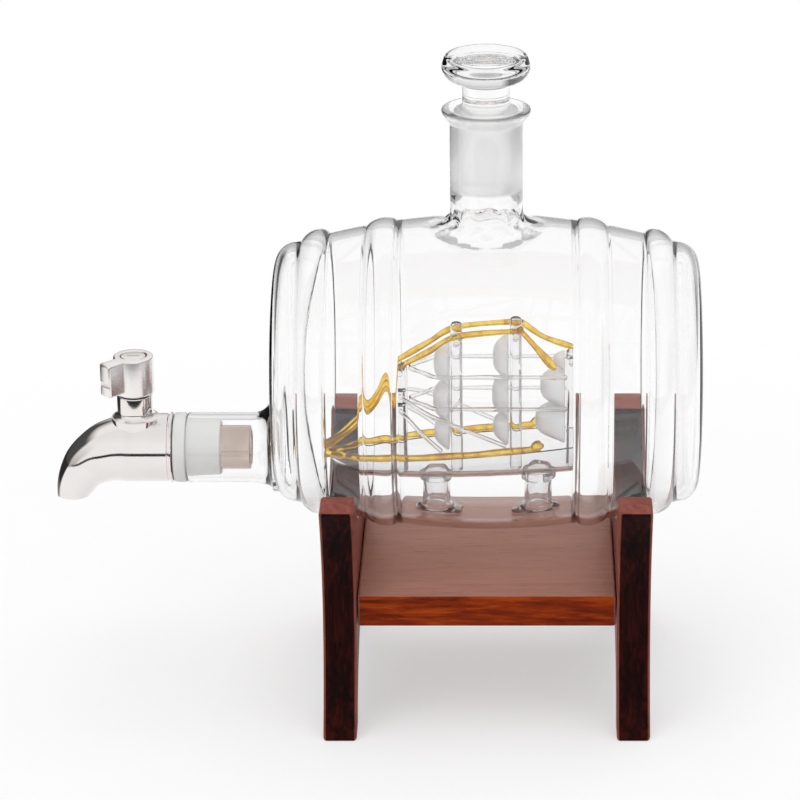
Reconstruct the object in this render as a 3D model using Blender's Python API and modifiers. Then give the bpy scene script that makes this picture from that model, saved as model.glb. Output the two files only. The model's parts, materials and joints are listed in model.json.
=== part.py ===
"""Decanter with tap: a barrel of clear glass with a glass ship inside, a ground stopper in its neck,
a lever tap in a silicone bung, and a wooden stand. Metres, +Z up.

The world origin is on the floor under the middle of the whole object. Every piece hangs on empties: the
first one is at the middle of the barrel, so x, y and z below are measured from there, along the barrel,
across it and up. The spout points to -X. Drops and depths are positive downwards.
"""

import math

import bmesh
import bpy
from mathutils import Matrix, Vector

# Fits: the air between pieces that touch or are fused, how far a cutter runs past a face, and how near
# points are made one
GAP = 0.0003
OVERRUN = 0.002
WELD = 0.00001

# Faces round a turn
BARREL_STEPS = 36
NECK_STEPS = 24
TAP_STEPS = 20
SMALL_STEPS = 16
THIN_STEPS = 12
ARC_STEPS = 3

# Barrel, blown in one piece: half length, radius in the middle and at the shoulder, end and wall
BARREL_HALF_LENGTH = 0.0793
BARREL_RADIUS = 0.0583
SHOULDER_X = 0.0728
SHOULDER_RADIUS = 0.0472
END_CORNER_RADIUS = 0.0078
END_DOME_HEIGHT = 0.0014
GLASS_WALL = 0.0021
END_SHARES = (0, 0.6)
BODY_SHARES = (0.5, 0)

# Hoops, two pairs blown into the wall
INNER_HOOP_X = 0.0386
INNER_HOOP_HALF_WIDTH = 0.0054
INNER_HOOP_HEIGHT = 0.0018
OUTER_HOOP_X = 0.0631
OUTER_HOOP_HALF_WIDTH = 0.0050
OUTER_HOOP_HEIGHT = 0.0026
HOOP_SHARES = (1, 0.75, 0, -0.75, -1)

# Neck with a ground socket
NECK_HEIGHT = 0.0430
NECK_RADIUS = 0.0133
NECK_ROOT_RADIUS = 0.0042
NECK_WALL = 0.0021
RIM_RADIUS = 0.0161
RIM_HEIGHT = 0.0056
RIM_EDGE = 0.0012
SOCKET_RADIUS = 0.0120
SOCKET_LENGTH = 0.029
SOCKET_SINK = 0.0015
SOCKET_TAPER_SHARE = 0.05
RIM_SHARES = ((1, 0), (0.86, 0.36), (0.42, 0.72), (0, 1))

# Stopper
STOPPER_WAIST_RADIUS = 0.0087
STOPPER_WAIST_HEIGHT = 0.0103
STOPPER_HEAD_RADIUS = 0.0159
STOPPER_HEAD_HEIGHT = 0.0105
STOPPER_TOP_RADIUS = 0.0115
STOPPER_DISH_DEPTH = 0.0006
STOPPER_PLUG_EDGE = 0.0009
HEAD_SHARES = ((0.66, 0.90), (0.93, 0.68), (1, 0.43), (0.66, 0.17), (0.15, 0.04))

# Outlet tube, low on the barrel's left end
OUTLET_DROP = 0.0302
OUTLET_RADIUS = 0.0131
OUTLET_LENGTH = 0.0321
OUTLET_WALL = 0.0020
OUTLET_LIP = 0.0007
OUTLET_ROOT_LENGTH = 0.0080
OUTLET_ROOT_SPREAD = 0.0066
OUTLET_ROOT_LIFT = 0.0034
OUTLET_ROOT_DEPTH = 0.0085
ROOT_SHARES = ((0.35, 0.07, 0), (0.65, 0.24, 0.22), (0.88, 0.55, 0.60), (1, 1, 1))

# Bung and shank
BUNG_FLANGE_RADIUS = 0.0130
BUNG_FLANGE_THICKNESS = 0.0048
BUNG_LENGTH = 0.0128
BUNG_TAPER = 0.0006
BUNG_EDGE = 0.0008
SHANK_RADIUS = 0.0082
SHANK_WALL = 0.0014
SHANK_REACH = 0.0108
SHANK_SEAT_DEPTH = 0.0055

# Tap body: the turret's setback is from the body's rear face, the spout's reach from the turret's axis
TAP_RADIUS = 0.0128
TAP_LIP_HEIGHT = 0.0004
TAP_LIP_WIDTH = 0.0009
TURRET_SETBACK = 0.0139
TURRET_RADIUS = 0.0066
TURRET_HEIGHT = 0.0213
TURRET_ROOT_RADIUS = 0.0026
SPOUT_REACH = 0.0242
SPOUT_DROP = 0.0187
MOUTH_RADIUS = 0.0062
WATERWAY_RADIUS = 0.0042
# Sections of the spout after the turret: shares of reach and drop, of the way from body to mouth
# radius, and of a right angle that the section is turned by
SPOUT_SHARES = (
    (0.14, 0.00, 0.00, 0.00),
    (0.37, 0.05, 0.16, 0.08),
    (0.56, 0.13, 0.28, 0.14),
    (0.72, 0.27, 0.44, 0.25),
    (0.85, 0.45, 0.59, 0.40),
    (0.93, 0.65, 0.76, 0.58),
    (0.98, 0.84, 0.91, 0.80),
    (1.00, 1.00, 1.00, 1.00),
)

# Valve: heights are from the tap's own axis
SPINDLE_RADIUS = 0.0050
SPINDLE_DEPTH = 0.0072
SPINDLE_TOP = 0.0174
SPINDLE_STEM_RADIUS = 0.0034
SPINDLE_BORE_RADIUS = 0.0034
TANG_HALF_WIDTH = 0.0022
TANG_HEIGHT = 0.0087
RING_GROOVE_DEPTH = 0.0013
LOWER_RING_Z = 0.0092
UPPER_RING_Z = 0.0138

# Handle
CAP_RADIUS = 0.0074
CAP_HEIGHT = 0.0147
CAP_TOP_EDGE = 0.0007
CAP_FOOT_EDGE = 0.0013
CAP_CLEARANCE = 0.0005
LEVER_REACH = 0.0140
LEVER_THICKNESS = 0.0058
LEVER_HEIGHT = 0.0128
LEVER_EDGE = 0.0011
LEVER_GROOVE_DEPTH = 0.0006
LEVER_GROOVE_WIDTH = 0.0020
LEVER_GROOVE_Z = 0.0048
LEVER_ANGLE = math.radians(225)
SCREW_HEAD_RADIUS = 0.0046
SCREW_HEAD_THICKNESS = 0.0012
SCREW_RADIUS = 0.0015
SCREW_LENGTH = 0.0094
SLOT_LENGTH = 0.0046
SLOT_WIDTH = 0.0009
SLOT_DEPTH = 0.0005

# Stand
AXIS_HEIGHT = 0.1225
HOOP_CLEARANCE = 0.0037
SUPPORT_THICKNESS = 0.0123
ARM_TOP_DROP = 0.0320
ARM_HALF_DEPTH = 0.0602
WAIST_DROP = 0.0780
WAIST_HALF_DEPTH = 0.0462
FOOT_HALF_DEPTH = 0.0602
LEG_DEPTH = 0.0150
ARCH_WEB = 0.0095
SUPPORT_EDGE = 0.0016
BOARD_DROP = 0.0720
BOARD_THICKNESS = 0.0120
BOARD_HALF_DEPTH = 0.0430
BOARD_EDGE = 0.0011
DOWEL_RADIUS = 0.0030
DOWEL_HALF_SPACING = 0.0260
DOWEL_SUPPORT_DEPTH = 0.0080
DOWEL_BOARD_DEPTH = 0.0140
SIDE_CURVE_STEPS = 6
CRADLE_STEPS = 10
ARCH_STEPS = 12

# Ship: hull
HULL_BOW_X = -0.0580
HULL_STERN_X = 0.0352
HULL_HALF_WIDTH = 0.0130
HULL_BOW_EDGE_DROP = 0.0340
HULL_STERN_EDGE_DROP = 0.0260
HULL_KEEL_DROP = 0.0415
HULL_WALL = 0.0012
HULL_SECTION_STEPS = 8
# Stations from bow to stern: shares of length, half width and depth
HULL_SHARES = (
    (0.00, 0.13, 0.25),
    (0.06, 0.36, 0.62),
    (0.13, 0.57, 0.93),
    (0.25, 0.80, 1.00),
    (0.42, 0.96, 1.00),
    (0.62, 1.00, 0.97),
    (0.82, 0.95, 0.91),
    (1.00, 0.82, 0.84),
)

# Ship: pedestals, one to each side of the barrel's middle
PEDESTAL_X = 0.0190
PEDESTAL_RADIUS = 0.0053
PEDESTAL_WALL = 0.0013
PEDESTAL_FOOT_RADIUS = 0.0098
PEDESTAL_FOOT_HEIGHT = 0.0045

# Ship: masts from bow to stern. Heights in the ship are shares of its height from the keel to the
# tallest mast's top, places along it are shares of the hull's length
SHIP_TOP_Z = 0.0214
MAST_RADIUS = 0.0022
CROSSBAR_RADIUS = 0.0011
# Each mast's place, top, radius, crossbar's height and crossbar's half length as a share of a sail's
MAST_SHARES = {
    "bow": (0.277, 0.701, 1.27, 0.676, 0.56),
    "main": (0.502, 0.968, 1.00, 0.866, 0.70),
    "mizzen": (0.736, 1.000, 1.00, 0.901, 0.70),
    "stern": (0.957, 0.800, 0.91, 0.746, 0.68),
}

# Ship: sails
SAIL_THICKNESS = 0.0012
SAIL_HALF_WIDTH = 0.0100
SAIL_BELLY = 0.0110
SAIL_GRID_STEPS = 5
# Each sail's mast, its top and foot, and its shares of half width and belly
SAIL_SHARES = {
    "main_upper": ("main", 0.825, 0.612, 1, 0.43),
    "main_middle": ("main", 0.602, 0.374, 1, 0.46),
    "main_lower": ("main", 0.364, 0.207, 1, 0.43),
    "mizzen_upper": ("mizzen", 0.863, 0.647, 1, 0.43),
    "mizzen_middle": ("mizzen", 0.637, 0.402, 1, 0.46),
    "mizzen_lower": ("mizzen", 0.392, 0.238, 1, 0.43),
    "stern_upper": ("stern", 0.781, 0.685, 0.4, 0.30),
    "stern_middle": ("stern", 0.675, 0.469, 1, 0.73),
    "stern_lower": ("stern", 0.459, 0.254, 1, 0.90),
}

# Ship: amber rods. Rails lie on the hull's edges, stays run from the bow over the crossbars
RAIL_RADIUS = 0.0012
RAIL_BEAD_RADIUS = 0.0021
RAIL_BEAD_LENGTH = 0.0040
RAIL_END_SHARE = 0.841
# Each bead's shares of its length and of its swelling
BEAD_SHARES = ((0.4, 0.85), (0.7, 1), (0.92, 0.8), (1, 0.35))
BOW_TIP_LENGTH = 0.0027
BOW_HALF_SPACING = 0.0016
STAY_RADIUS = 0.0011
STAY_HALF_SPACING = 0.0053
STAY_MAST_HALF_SPACING = 0.0042
# Shares of the way from the bow tip to the first crossbar and of the climb between them
FORESTAY_SHARES = ((0.25, 0.15), (0.50, 0.36), (0.70, 0.58), (0.83, 0.80), (0.93, 0.98))
STAY_STEPS = 2

# Ship: clear rods along the sails' edges, and shrouds down to the rails
BRACE_RADIUS = 0.0008
BRACE_SHARES = {"upper": 0.688, "lower": 0.488}
BRACE_END_SHARE = 0.933
SHROUD_RADIUS = 0.0008
# Each shroud's top on the first mast and its foot's place along the hull. It runs straight between them
# when seen from the side; at its knee, a share of the way, it is that share of the braces' spacing out
SHROUD_SHARES = {"long": (0.528, 0.693, 0.30, 1.0), "short": (0.437, 0.440, 0.55, 0.85)}

# Directions
ALONG_X = (0, math.radians(90), 0)
ACROSS_Y = (math.radians(-90), 0, 0)
SIDE_ON = (math.radians(90), 0, math.radians(90))

# Places worked out from the sizes above
MOUTH_X = -(BARREL_HALF_LENGTH + OUTLET_LENGTH)
TAP_REAR_X = MOUTH_X - BUNG_FLANGE_THICKNESS - 2 * GAP
TURRET_X = TAP_REAR_X - TURRET_SETBACK
SPOUT_END_X = TURRET_X - SPOUT_REACH - MOUTH_RADIUS
BARREL_X = -(SPOUT_END_X + BARREL_HALF_LENGTH) / 2
NECK_TOP_Z = BARREL_RADIUS + NECK_HEIGHT
SOCKET_TOP_Z = NECK_TOP_Z - SOCKET_SINK
SOCKET_FOOT_Z = SOCKET_TOP_Z - SOCKET_LENGTH
SOCKET_FOOT_RADIUS = SOCKET_RADIUS - SOCKET_TAPER_SHARE * SOCKET_LENGTH
CHAMBER_RADIUS = SPINDLE_RADIUS + GAP
CAP_FOOT_Z = TURRET_HEIGHT + CAP_CLEARANCE
CAP_TOP_Z = CAP_FOOT_Z + CAP_HEIGHT
INNER_FACE_X = INNER_HOOP_X + INNER_HOOP_HALF_WIDTH + HOOP_CLEARANCE
OUTER_FACE_X = INNER_FACE_X + SUPPORT_THICKNESS
BOW_TIP_X = HULL_BOW_X - BOW_TIP_LENGTH
SHIP_HEIGHT = SHIP_TOP_Z + HULL_KEEL_DROP


def collection(title):
    group = bpy.data.collections.new(title)
    bpy.context.scene.collection.children.link(group)
    return group


def finish(title, colour, roughness, metallic=0.0, transmission=0.0):
    """A material with the colour, roughness and metal of the photographed surface."""
    material = bpy.data.materials.new(title)
    material.use_nodes = True
    shader = material.node_tree.nodes["Principled BSDF"]
    shader.inputs["Base Color"].default_value = (*colour, 1.0)
    shader.inputs["Roughness"].default_value = roughness
    shader.inputs["Metallic"].default_value = metallic
    shader.inputs["Transmission Weight"].default_value = transmission
    material.diffuse_color = (*colour, 1.0)
    return material


def empty(title, parent=None, place=(0, 0, 0), turn=(0, 0, 0)):
    holder = bpy.data.objects.new(title, None)
    holder.parent = parent
    holder.location = place
    holder.rotation_euler = turn
    PARTS.objects.link(holder)
    return holder


def put(title, data, material, parent, place=(0, 0, 0), turn=(0, 0, 0)):
    """Links a new object. A piece without a material is a cutter: it shows as wires and isn't rendered."""
    piece = bpy.data.objects.new(title, data)
    piece.parent = parent
    piece.location = place
    piece.rotation_euler = turn
    if material is None:
        CUTTERS.objects.link(piece)
        piece.hide_render = True
        piece.display_type = "WIRE"
    else:
        PARTS.objects.link(piece)
        data.materials.append(material)
    return piece


def mesh_from(work, title):
    data = bpy.data.meshes.new(title)
    work.to_mesh(data)
    work.free()
    data.shade_smooth()
    data.set_sharp_from_angle(angle=math.radians(35))
    return data


def turned(title, profile, material, parent, place=(0, 0, 0), turn=(0, 0, 0), steps=SMALL_STEPS,
           ring=False):
    """Turns a profile of (radius, height) round the local Z axis. It runs down the outer side; a ring's
    profile comes back up its bore."""
    work = bmesh.new()
    points = [work.verts.new((radius, 0, height)) for radius, height in profile]
    for first, second in zip(points, points[1:]):
        work.edges.new((first, second))
    if ring:
        work.edges.new((points[-1], points[0]))
    data = bpy.data.meshes.new(title)
    work.to_mesh(data)
    work.free()
    piece = put(title, data, material, parent, place, turn)
    screw = piece.modifiers.new("turn", "SCREW")
    screw.axis = "Z"
    screw.steps = steps
    screw.render_steps = steps
    screw.use_merge_vertices = True
    screw.merge_threshold = WELD
    screw.use_smooth_shade = True
    return piece


def rounded_box(title, half_sizes, edge, material, parent, place=(0, 0, 0), turn=(0, 0, 0)):
    work = bmesh.new()
    bmesh.ops.create_cube(work, size=2, matrix=Matrix.Diagonal((*half_sizes, 1)))
    piece = put(title, mesh_from(work, title), material, parent, place, turn)
    if edge > 0:
        bevel = piece.modifiers.new("edges", "BEVEL")
        bevel.width = edge
        bevel.segments = 2
    return piece


def lofted(title, sections, material, parent, place=(0, 0, 0), steps=TAP_STEPS):
    """A closed skin over round sections that stand on the XZ plane. A section is (x, z, radius, tilt):
    at no tilt it faces along X, and its top leans to -X as it tilts."""
    work = bmesh.new()
    rings = []
    for x, z, radius, tilt in sections:
        middle = Vector((x, 0, z))
        up = Vector((-math.sin(tilt), 0, math.cos(tilt)))
        side = Vector((0, 1, 0))
        angles = [math.tau * step / steps for step in range(steps)]
        rings.append([
            work.verts.new(middle + radius * (math.cos(angle) * up + math.sin(angle) * side))
            for angle in angles
        ])
    for ring, following in zip(rings, rings[1:]):
        for step in range(steps):
            after = (step + 1) % steps
            work.faces.new((ring[step], ring[after], following[after], following[step]))
    work.faces.new(rings[0])
    work.faces.new(rings[-1])
    bmesh.ops.recalc_face_normals(work, faces=work.faces[:])
    return put(title, mesh_from(work, title), material, parent, place)


def rod(title, path, radius, material, parent, swellings=None):
    """A round rod along a path of points, as a curve; swellings are factors on its radius."""
    data = bpy.data.curves.new(title, "CURVE")
    data.dimensions = "3D"
    data.bevel_depth = radius
    data.bevel_resolution = 2
    data.use_fill_caps = True
    spline = data.splines.new("POLY")
    spline.points.add(len(path) - 1)
    for number, point in enumerate(path):
        spline.points[number].co = (*point, 1)
        if swellings:
            spline.points[number].radius = swellings[number]
    return put(title, data, material, parent)


def change(piece, other, operation):
    modifier = piece.modifiers.new(operation.lower(), "BOOLEAN")
    modifier.operation = operation
    modifier.object = other
    modifier.solver = "EXACT"
    return piece


def cut(piece, cutter):
    return change(piece, cutter, "DIFFERENCE")


def joined(piece, other):
    return change(piece, other, "UNION")


def arc(centre, radius, start, end, steps):
    """Points of an arc in the plane of (radius or y, height), angles in degrees from the first axis."""
    angles = [math.radians(start + (end - start) * step / steps) for step in range(steps + 1)]
    return [(centre[0] + radius * math.cos(a), centre[1] + radius * math.sin(a)) for a in angles]


def smooth_path(points, steps):
    """Points of a smooth curve through the given ones, with so many steps between each two."""
    ends = [points[0], *points, points[-1]]
    path = []
    for before, start, end, after in zip(ends, ends[1:], ends[2:], ends[3:]):
        lead, trail = (end - before) / 2, (after - start) / 2
        for step in range(steps):
            t = step / steps
            path.append(
                start * (2 * t**3 - 3 * t**2 + 1) + lead * (t**3 - 2 * t**2 + t)
                + end * (3 * t**2 - 2 * t**3) + trail * (t**3 - t**2)
            )
    return path + [points[-1]]


def body_radius(x):
    """Outer radius of the barrel at a place along it, without the hoops."""
    return BARREL_RADIUS - (BARREL_RADIUS - SHOULDER_RADIUS) * (x / SHOULDER_X) ** 2


def hoop_points(place, half_width, height):
    """A hoop's rounded section on the barrel's side, from its far edge to its near one."""
    points = []
    for share in HOOP_SHARES:
        x = place + share * half_width
        points.append((body_radius(x) + height * math.sqrt(1 - share**2), x))
    return points


def end_points(wall):
    """The end of the barrel and its corner, from the axis outwards, a wall's thickness in."""
    corner = END_CORNER_RADIUS - wall
    flat_x = BARREL_HALF_LENGTH - END_DOME_HEIGHT - wall
    rim = body_radius(flat_x - corner) - wall - corner
    dome = [(rim * share, flat_x + END_DOME_HEIGHT * (1 - share**2)) for share in END_SHARES]
    turn = arc((rim, flat_x - corner), corner, 90, 0, ARC_STEPS)
    return dome + turn


def mirrored(half):
    """A whole profile from the half that ends in the middle."""
    return half + [(radius, -x) for radius, x in reversed(half[:-1])]


def barrel_outside():
    half = end_points(0)
    half += hoop_points(OUTER_HOOP_X, OUTER_HOOP_HALF_WIDTH, OUTER_HOOP_HEIGHT)
    half += hoop_points(INNER_HOOP_X, INNER_HOOP_HALF_WIDTH, INNER_HOOP_HEIGHT)
    free = INNER_HOOP_X - INNER_HOOP_HALF_WIDTH
    half += [(body_radius(free * share), free * share) for share in BODY_SHARES]
    return mirrored(half)


def barrel_inside(wall):
    half = end_points(wall)
    places = (OUTER_HOOP_X, INNER_HOOP_X, INNER_HOOP_X * BODY_SHARES[0], 0)
    half += [(body_radius(x) - wall, x) for x in places]
    return mirrored(half)


def neck_outside():
    """The neck from its rim down to the fillet at the barrel, closed inside the barrel's wall."""
    flare = RIM_RADIUS - NECK_RADIUS
    root_top = BARREL_RADIUS + NECK_ROOT_RADIUS
    points = [(0, NECK_TOP_Z), (RIM_RADIUS - RIM_EDGE, NECK_TOP_Z)]
    for out, down in RIM_SHARES:
        points.append((NECK_RADIUS + flare * out, NECK_TOP_Z - RIM_EDGE - (RIM_HEIGHT - RIM_EDGE) * down))
    centre = (NECK_RADIUS + NECK_ROOT_RADIUS, root_top)
    points += arc(centre, NECK_ROOT_RADIUS, 180, 240, ARC_STEPS)
    points.append((centre[0] + NECK_ROOT_RADIUS, BARREL_RADIUS - NECK_ROOT_RADIUS))
    points.append((0, BARREL_RADIUS - NECK_ROOT_RADIUS))
    return points


def neck_inside():
    """The bore: a ground taper at the top, then the clear neck, opening out into the barrel."""
    bore = NECK_RADIUS - NECK_WALL
    root = NECK_ROOT_RADIUS
    inner_top = BARREL_RADIUS - GLASS_WALL
    points = [(0, NECK_TOP_Z + OVERRUN), (SOCKET_RADIUS + SOCKET_SINK, NECK_TOP_Z + OVERRUN)]
    points += [(SOCKET_RADIUS + SOCKET_SINK, NECK_TOP_Z), (SOCKET_RADIUS, SOCKET_TOP_Z)]
    points += [(SOCKET_FOOT_RADIUS, SOCKET_FOOT_Z), (bore, SOCKET_FOOT_Z - root / 2)]
    points += arc((bore + root, inner_top + root), root, 180, 240, 2)
    points += [(bore + root, inner_top - root), (0, inner_top - root)]
    return points


def outlet_sections(wall, beyond):
    """Sections of the outlet tube from inside the barrel to its mouth, a wall's thickness in. At its
    root the tube spreads, more upwards than down, into the barrel's end."""
    start = BARREL_HALF_LENGTH - OUTLET_ROOT_DEPTH
    tube_x = BARREL_HALF_LENGTH + OUTLET_ROOT_LENGTH
    spread = OUTLET_RADIUS + OUTLET_ROOT_SPREAD
    sections = [(-start, OUTLET_ROOT_LIFT - OUTLET_DROP, spread - wall, 0)]
    for along, out, lift in reversed(ROOT_SHARES):
        x = -tube_x + OUTLET_ROOT_LENGTH * along
        z = OUTLET_ROOT_LIFT * lift - OUTLET_DROP
        sections.append((x, z, OUTLET_RADIUS + OUTLET_ROOT_SPREAD * out - wall, 0))
    sections.append((-tube_x, -OUTLET_DROP, OUTLET_RADIUS - wall, 0))
    if beyond:
        sections.append((MOUTH_X - beyond, -OUTLET_DROP, OUTLET_RADIUS - wall, 0))
    else:
        sections.append((MOUTH_X + OUTLET_LIP, -OUTLET_DROP, OUTLET_RADIUS, 0))
        sections.append((MOUTH_X, -OUTLET_DROP, OUTLET_RADIUS - OUTLET_LIP, 0))
    return sections


def make_barrel():
    """The blown body, with the neck and the outlet tube fused on over its two holes."""
    barrel = turned("glass_barrel", barrel_outside(), CLEAR, DECANTER, turn=ALONG_X, steps=BARREL_STEPS)
    neck = turned("glass_neck", neck_outside(), CLEAR, DECANTER, steps=NECK_STEPS)
    outlet = lofted("glass_outlet", outlet_sections(0, 0), CLEAR, DECANTER)
    seat = turned("root_seat", barrel_inside(-GAP), None, DECANTER, turn=ALONG_X, steps=BARREL_STEPS)
    cavity = turned("cavity", barrel_inside(GLASS_WALL), None, DECANTER, turn=ALONG_X,
                    steps=BARREL_STEPS)
    neck_bore = turned("neck_bore", neck_inside(), None, DECANTER, steps=NECK_STEPS)
    outlet_bore = lofted("outlet_bore", outlet_sections(OUTLET_WALL, OVERRUN), None, DECANTER)
    for item, cutters in (
        (barrel, (cavity, neck_bore, outlet_bore)),
        (neck, (seat, neck_bore)),
        (outlet, (seat, outlet_bore)),
    ):
        for cutter in cutters:
            cut(item, cutter)


def make_stopper():
    """Ground plug, waist and a thick round head, dished on top. Its empty is on the neck's rim."""
    holder = empty("stopper_seat", DECANTER, (0, 0, NECK_TOP_Z))
    head_foot = STOPPER_WAIST_HEIGHT
    head_top = head_foot + STOPPER_HEAD_HEIGHT
    plug_top = SOCKET_TOP_Z - NECK_TOP_Z
    plug_foot = plug_top - SOCKET_LENGTH + GAP
    top_radius = SOCKET_RADIUS - GAP
    foot_radius = SOCKET_FOOT_RADIUS - GAP
    swell = STOPPER_HEAD_RADIUS - STOPPER_TOP_RADIUS
    profile = [(0, head_top - STOPPER_DISH_DEPTH), (STOPPER_TOP_RADIUS, head_top)]
    for out, up in HEAD_SHARES:
        profile.append((STOPPER_TOP_RADIUS + swell * out, head_foot + STOPPER_HEAD_HEIGHT * up))
    profile += [(STOPPER_WAIST_RADIUS + STOPPER_PLUG_EDGE, head_foot)]
    profile += [(STOPPER_WAIST_RADIUS, head_foot - STOPPER_PLUG_EDGE)]
    profile += [(STOPPER_WAIST_RADIUS, STOPPER_PLUG_EDGE), (top_radius - STOPPER_PLUG_EDGE, 0)]
    profile += [(top_radius, plug_top), (foot_radius, plug_foot + STOPPER_PLUG_EDGE)]
    profile += [(foot_radius - STOPPER_PLUG_EDGE, plug_foot), (0, plug_foot)]
    turned("stopper", profile, CLEAR, holder, steps=NECK_STEPS)


def make_bung():
    """Silicone bung: a flange outside the glass and a plug that narrows a little into the tube."""
    plug_radius = OUTLET_RADIUS - OUTLET_WALL - GAP
    end_radius = plug_radius - BUNG_TAPER
    bore = SHANK_RADIUS + GAP
    inner_x = MOUTH_X - GAP + BUNG_LENGTH
    face_x = MOUTH_X - GAP
    back_x = face_x - BUNG_FLANGE_THICKNESS
    profile = [(bore, inner_x), (end_radius - BUNG_EDGE, inner_x), (end_radius, inner_x - BUNG_EDGE)]
    profile += [(plug_radius, face_x), (BUNG_FLANGE_RADIUS, face_x), (BUNG_FLANGE_RADIUS, back_x)]
    profile += [(bore, back_x)]
    turned("bung", profile, SILICONE, DECANTER, (0, 0, -OUTLET_DROP), ALONG_X, TAP_STEPS, ring=True)


def make_shank():
    """Metal tube from its seat in the tap's body through the bung, open at its end."""
    start = TAP_REAR_X - SHANK_SEAT_DEPTH + GAP
    end = MOUTH_X + BUNG_LENGTH + SHANK_REACH
    bore = SHANK_RADIUS - SHANK_WALL
    profile = [(bore, end), (SHANK_RADIUS, end), (SHANK_RADIUS, start), (bore, start)]
    turned("tap_shank", profile, NICKEL, DECANTER, (0, 0, -OUTLET_DROP), ALONG_X, TAP_STEPS, ring=True)


def spout_sections(start_radius, end_radius, beyond):
    """Sections from the turret's axis to the mouth, measured from the turret's axis on the tap's axis."""
    sections = []
    for along, down, narrowing, turn in SPOUT_SHARES:
        radius = start_radius + (end_radius - start_radius) * narrowing
        sections.append((-SPOUT_REACH * along, -SPOUT_DROP * down, radius, math.radians(90) * turn))
    if beyond:
        sections.append((-SPOUT_REACH, -SPOUT_DROP - beyond, end_radius, math.radians(90)))
    return sections


def make_tap_body():
    rear = TURRET_SETBACK
    lip = TAP_RADIUS + TAP_LIP_HEIGHT
    sections = [(rear, 0, lip, 0), (rear - TAP_LIP_WIDTH, 0, lip, 0)]
    sections += [(rear - TAP_LIP_WIDTH - TAP_LIP_HEIGHT, 0, TAP_RADIUS, 0)]
    sections += spout_sections(TAP_RADIUS, MOUTH_RADIUS, 0)
    body = lofted("tap_body", sections, NICKEL, TAP)
    root_z = TAP_RADIUS + TURRET_ROOT_RADIUS - GAP
    root = (TURRET_RADIUS + TURRET_ROOT_RADIUS, root_z)
    turret = [(0, TURRET_HEIGHT), (TURRET_RADIUS, TURRET_HEIGHT)]
    turret += arc(root, TURRET_ROOT_RADIUS, 180, 250, ARC_STEPS)
    turret += [(turret[-1][0], 0), (0, 0)]
    joined(body, turned("turret_form", turret, None, TAP, steps=TAP_STEPS))
    seat_end = rear - SHANK_SEAT_DEPTH
    seat_radius = SHANK_RADIUS + GAP
    seat = [(0, rear + OVERRUN), (seat_radius, rear + OVERRUN), (seat_radius, seat_end), (0, seat_end)]
    cut(body, turned("shank_seat", seat, None, TAP, turn=ALONG_X, steps=TAP_STEPS))
    passage = [(seat_end + OVERRUN, 0, WATERWAY_RADIUS, 0)]
    passage += spout_sections(WATERWAY_RADIUS, WATERWAY_RADIUS, OVERRUN)
    cut(body, lofted("waterway", passage, None, TAP, steps=SMALL_STEPS))
    top, foot = TURRET_HEIGHT + OVERRUN, -SPINDLE_DEPTH - GAP
    chamber = [(0, top), (CHAMBER_RADIUS, top), (CHAMBER_RADIUS, foot), (0, foot)]
    cut(body, turned("valve_chamber", chamber, None, TAP, steps=SMALL_STEPS))


def groove(middle):
    """The profile's points of an O-ring's groove in the spindle, from its upper edge to its lower."""
    half_width = RING_GROOVE_DEPTH / 2 + GAP
    floor = SPINDLE_RADIUS - RING_GROOVE_DEPTH
    upper, lower = middle + half_width, middle - half_width
    return [(SPINDLE_RADIUS, upper), (floor, upper), (floor, lower), (SPINDLE_RADIUS, lower)]


def make_spindle():
    """Valve spindle with a cross bore that lines up with the lever, a stem and a square tang."""
    stem_top = TURRET_HEIGHT - GAP
    profile = [(0, stem_top), (SPINDLE_STEM_RADIUS, stem_top), (SPINDLE_STEM_RADIUS, SPINDLE_TOP)]
    profile += [(SPINDLE_RADIUS, SPINDLE_TOP), *groove(UPPER_RING_Z), *groove(LOWER_RING_Z)]
    profile += [(SPINDLE_RADIUS, -SPINDLE_DEPTH), (0, -SPINDLE_DEPTH)]
    spindle = turned("valve_spindle", profile, BRASS, HANDLE)
    half = (stem_top + TANG_HEIGHT - SPINDLE_TOP) / 2
    sizes = (TANG_HALF_WIDTH, TANG_HALF_WIDTH, half)
    joined(spindle, rounded_box("tang_form", sizes, 0, None, HANDLE, (0, 0, SPINDLE_TOP + half)))
    reach = SPINDLE_RADIUS + OVERRUN
    bore = [(0, reach), (SPINDLE_BORE_RADIUS, reach), (SPINDLE_BORE_RADIUS, -reach), (0, -reach)]
    cut(spindle, turned("cross_bore", bore, None, HANDLE, turn=ALONG_X))
    top = stem_top + TANG_HEIGHT + OVERRUN
    foot = CAP_TOP_Z - SCREW_LENGTH - SCREW_HEAD_THICKNESS - GAP
    radius = SCREW_RADIUS + GAP
    hole = [(0, top), (radius, top), (radius, foot), (0, foot)]
    cut(spindle, turned("screw_hole", hole, None, HANDLE))


def make_seals():
    """Two O-rings in the spindle's grooves, and the bonnet nut that keeps the spindle in the turret."""
    floor = SPINDLE_RADIUS - RING_GROOVE_DEPTH
    middle = (floor + CHAMBER_RADIUS) / 2
    section = (CHAMBER_RADIUS - floor) / 2 - GAP
    for title, height in (("o_ring_upper", UPPER_RING_Z), ("o_ring_lower", LOWER_RING_Z)):
        circle = arc((middle, height), section, 90, -210, 5)
        turned(title, circle, RUBBER, HANDLE, steps=THIN_STEPS, ring=True)
    top, foot = TURRET_HEIGHT - GAP, SPINDLE_TOP + GAP
    bore, outer = SPINDLE_STEM_RADIUS + GAP, CHAMBER_RADIUS - GAP
    nut = [(bore, top), (outer, top), (outer, foot), (bore, foot)]
    turned("bonnet_nut", nut, BRASS, TAP, ring=True)


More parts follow.
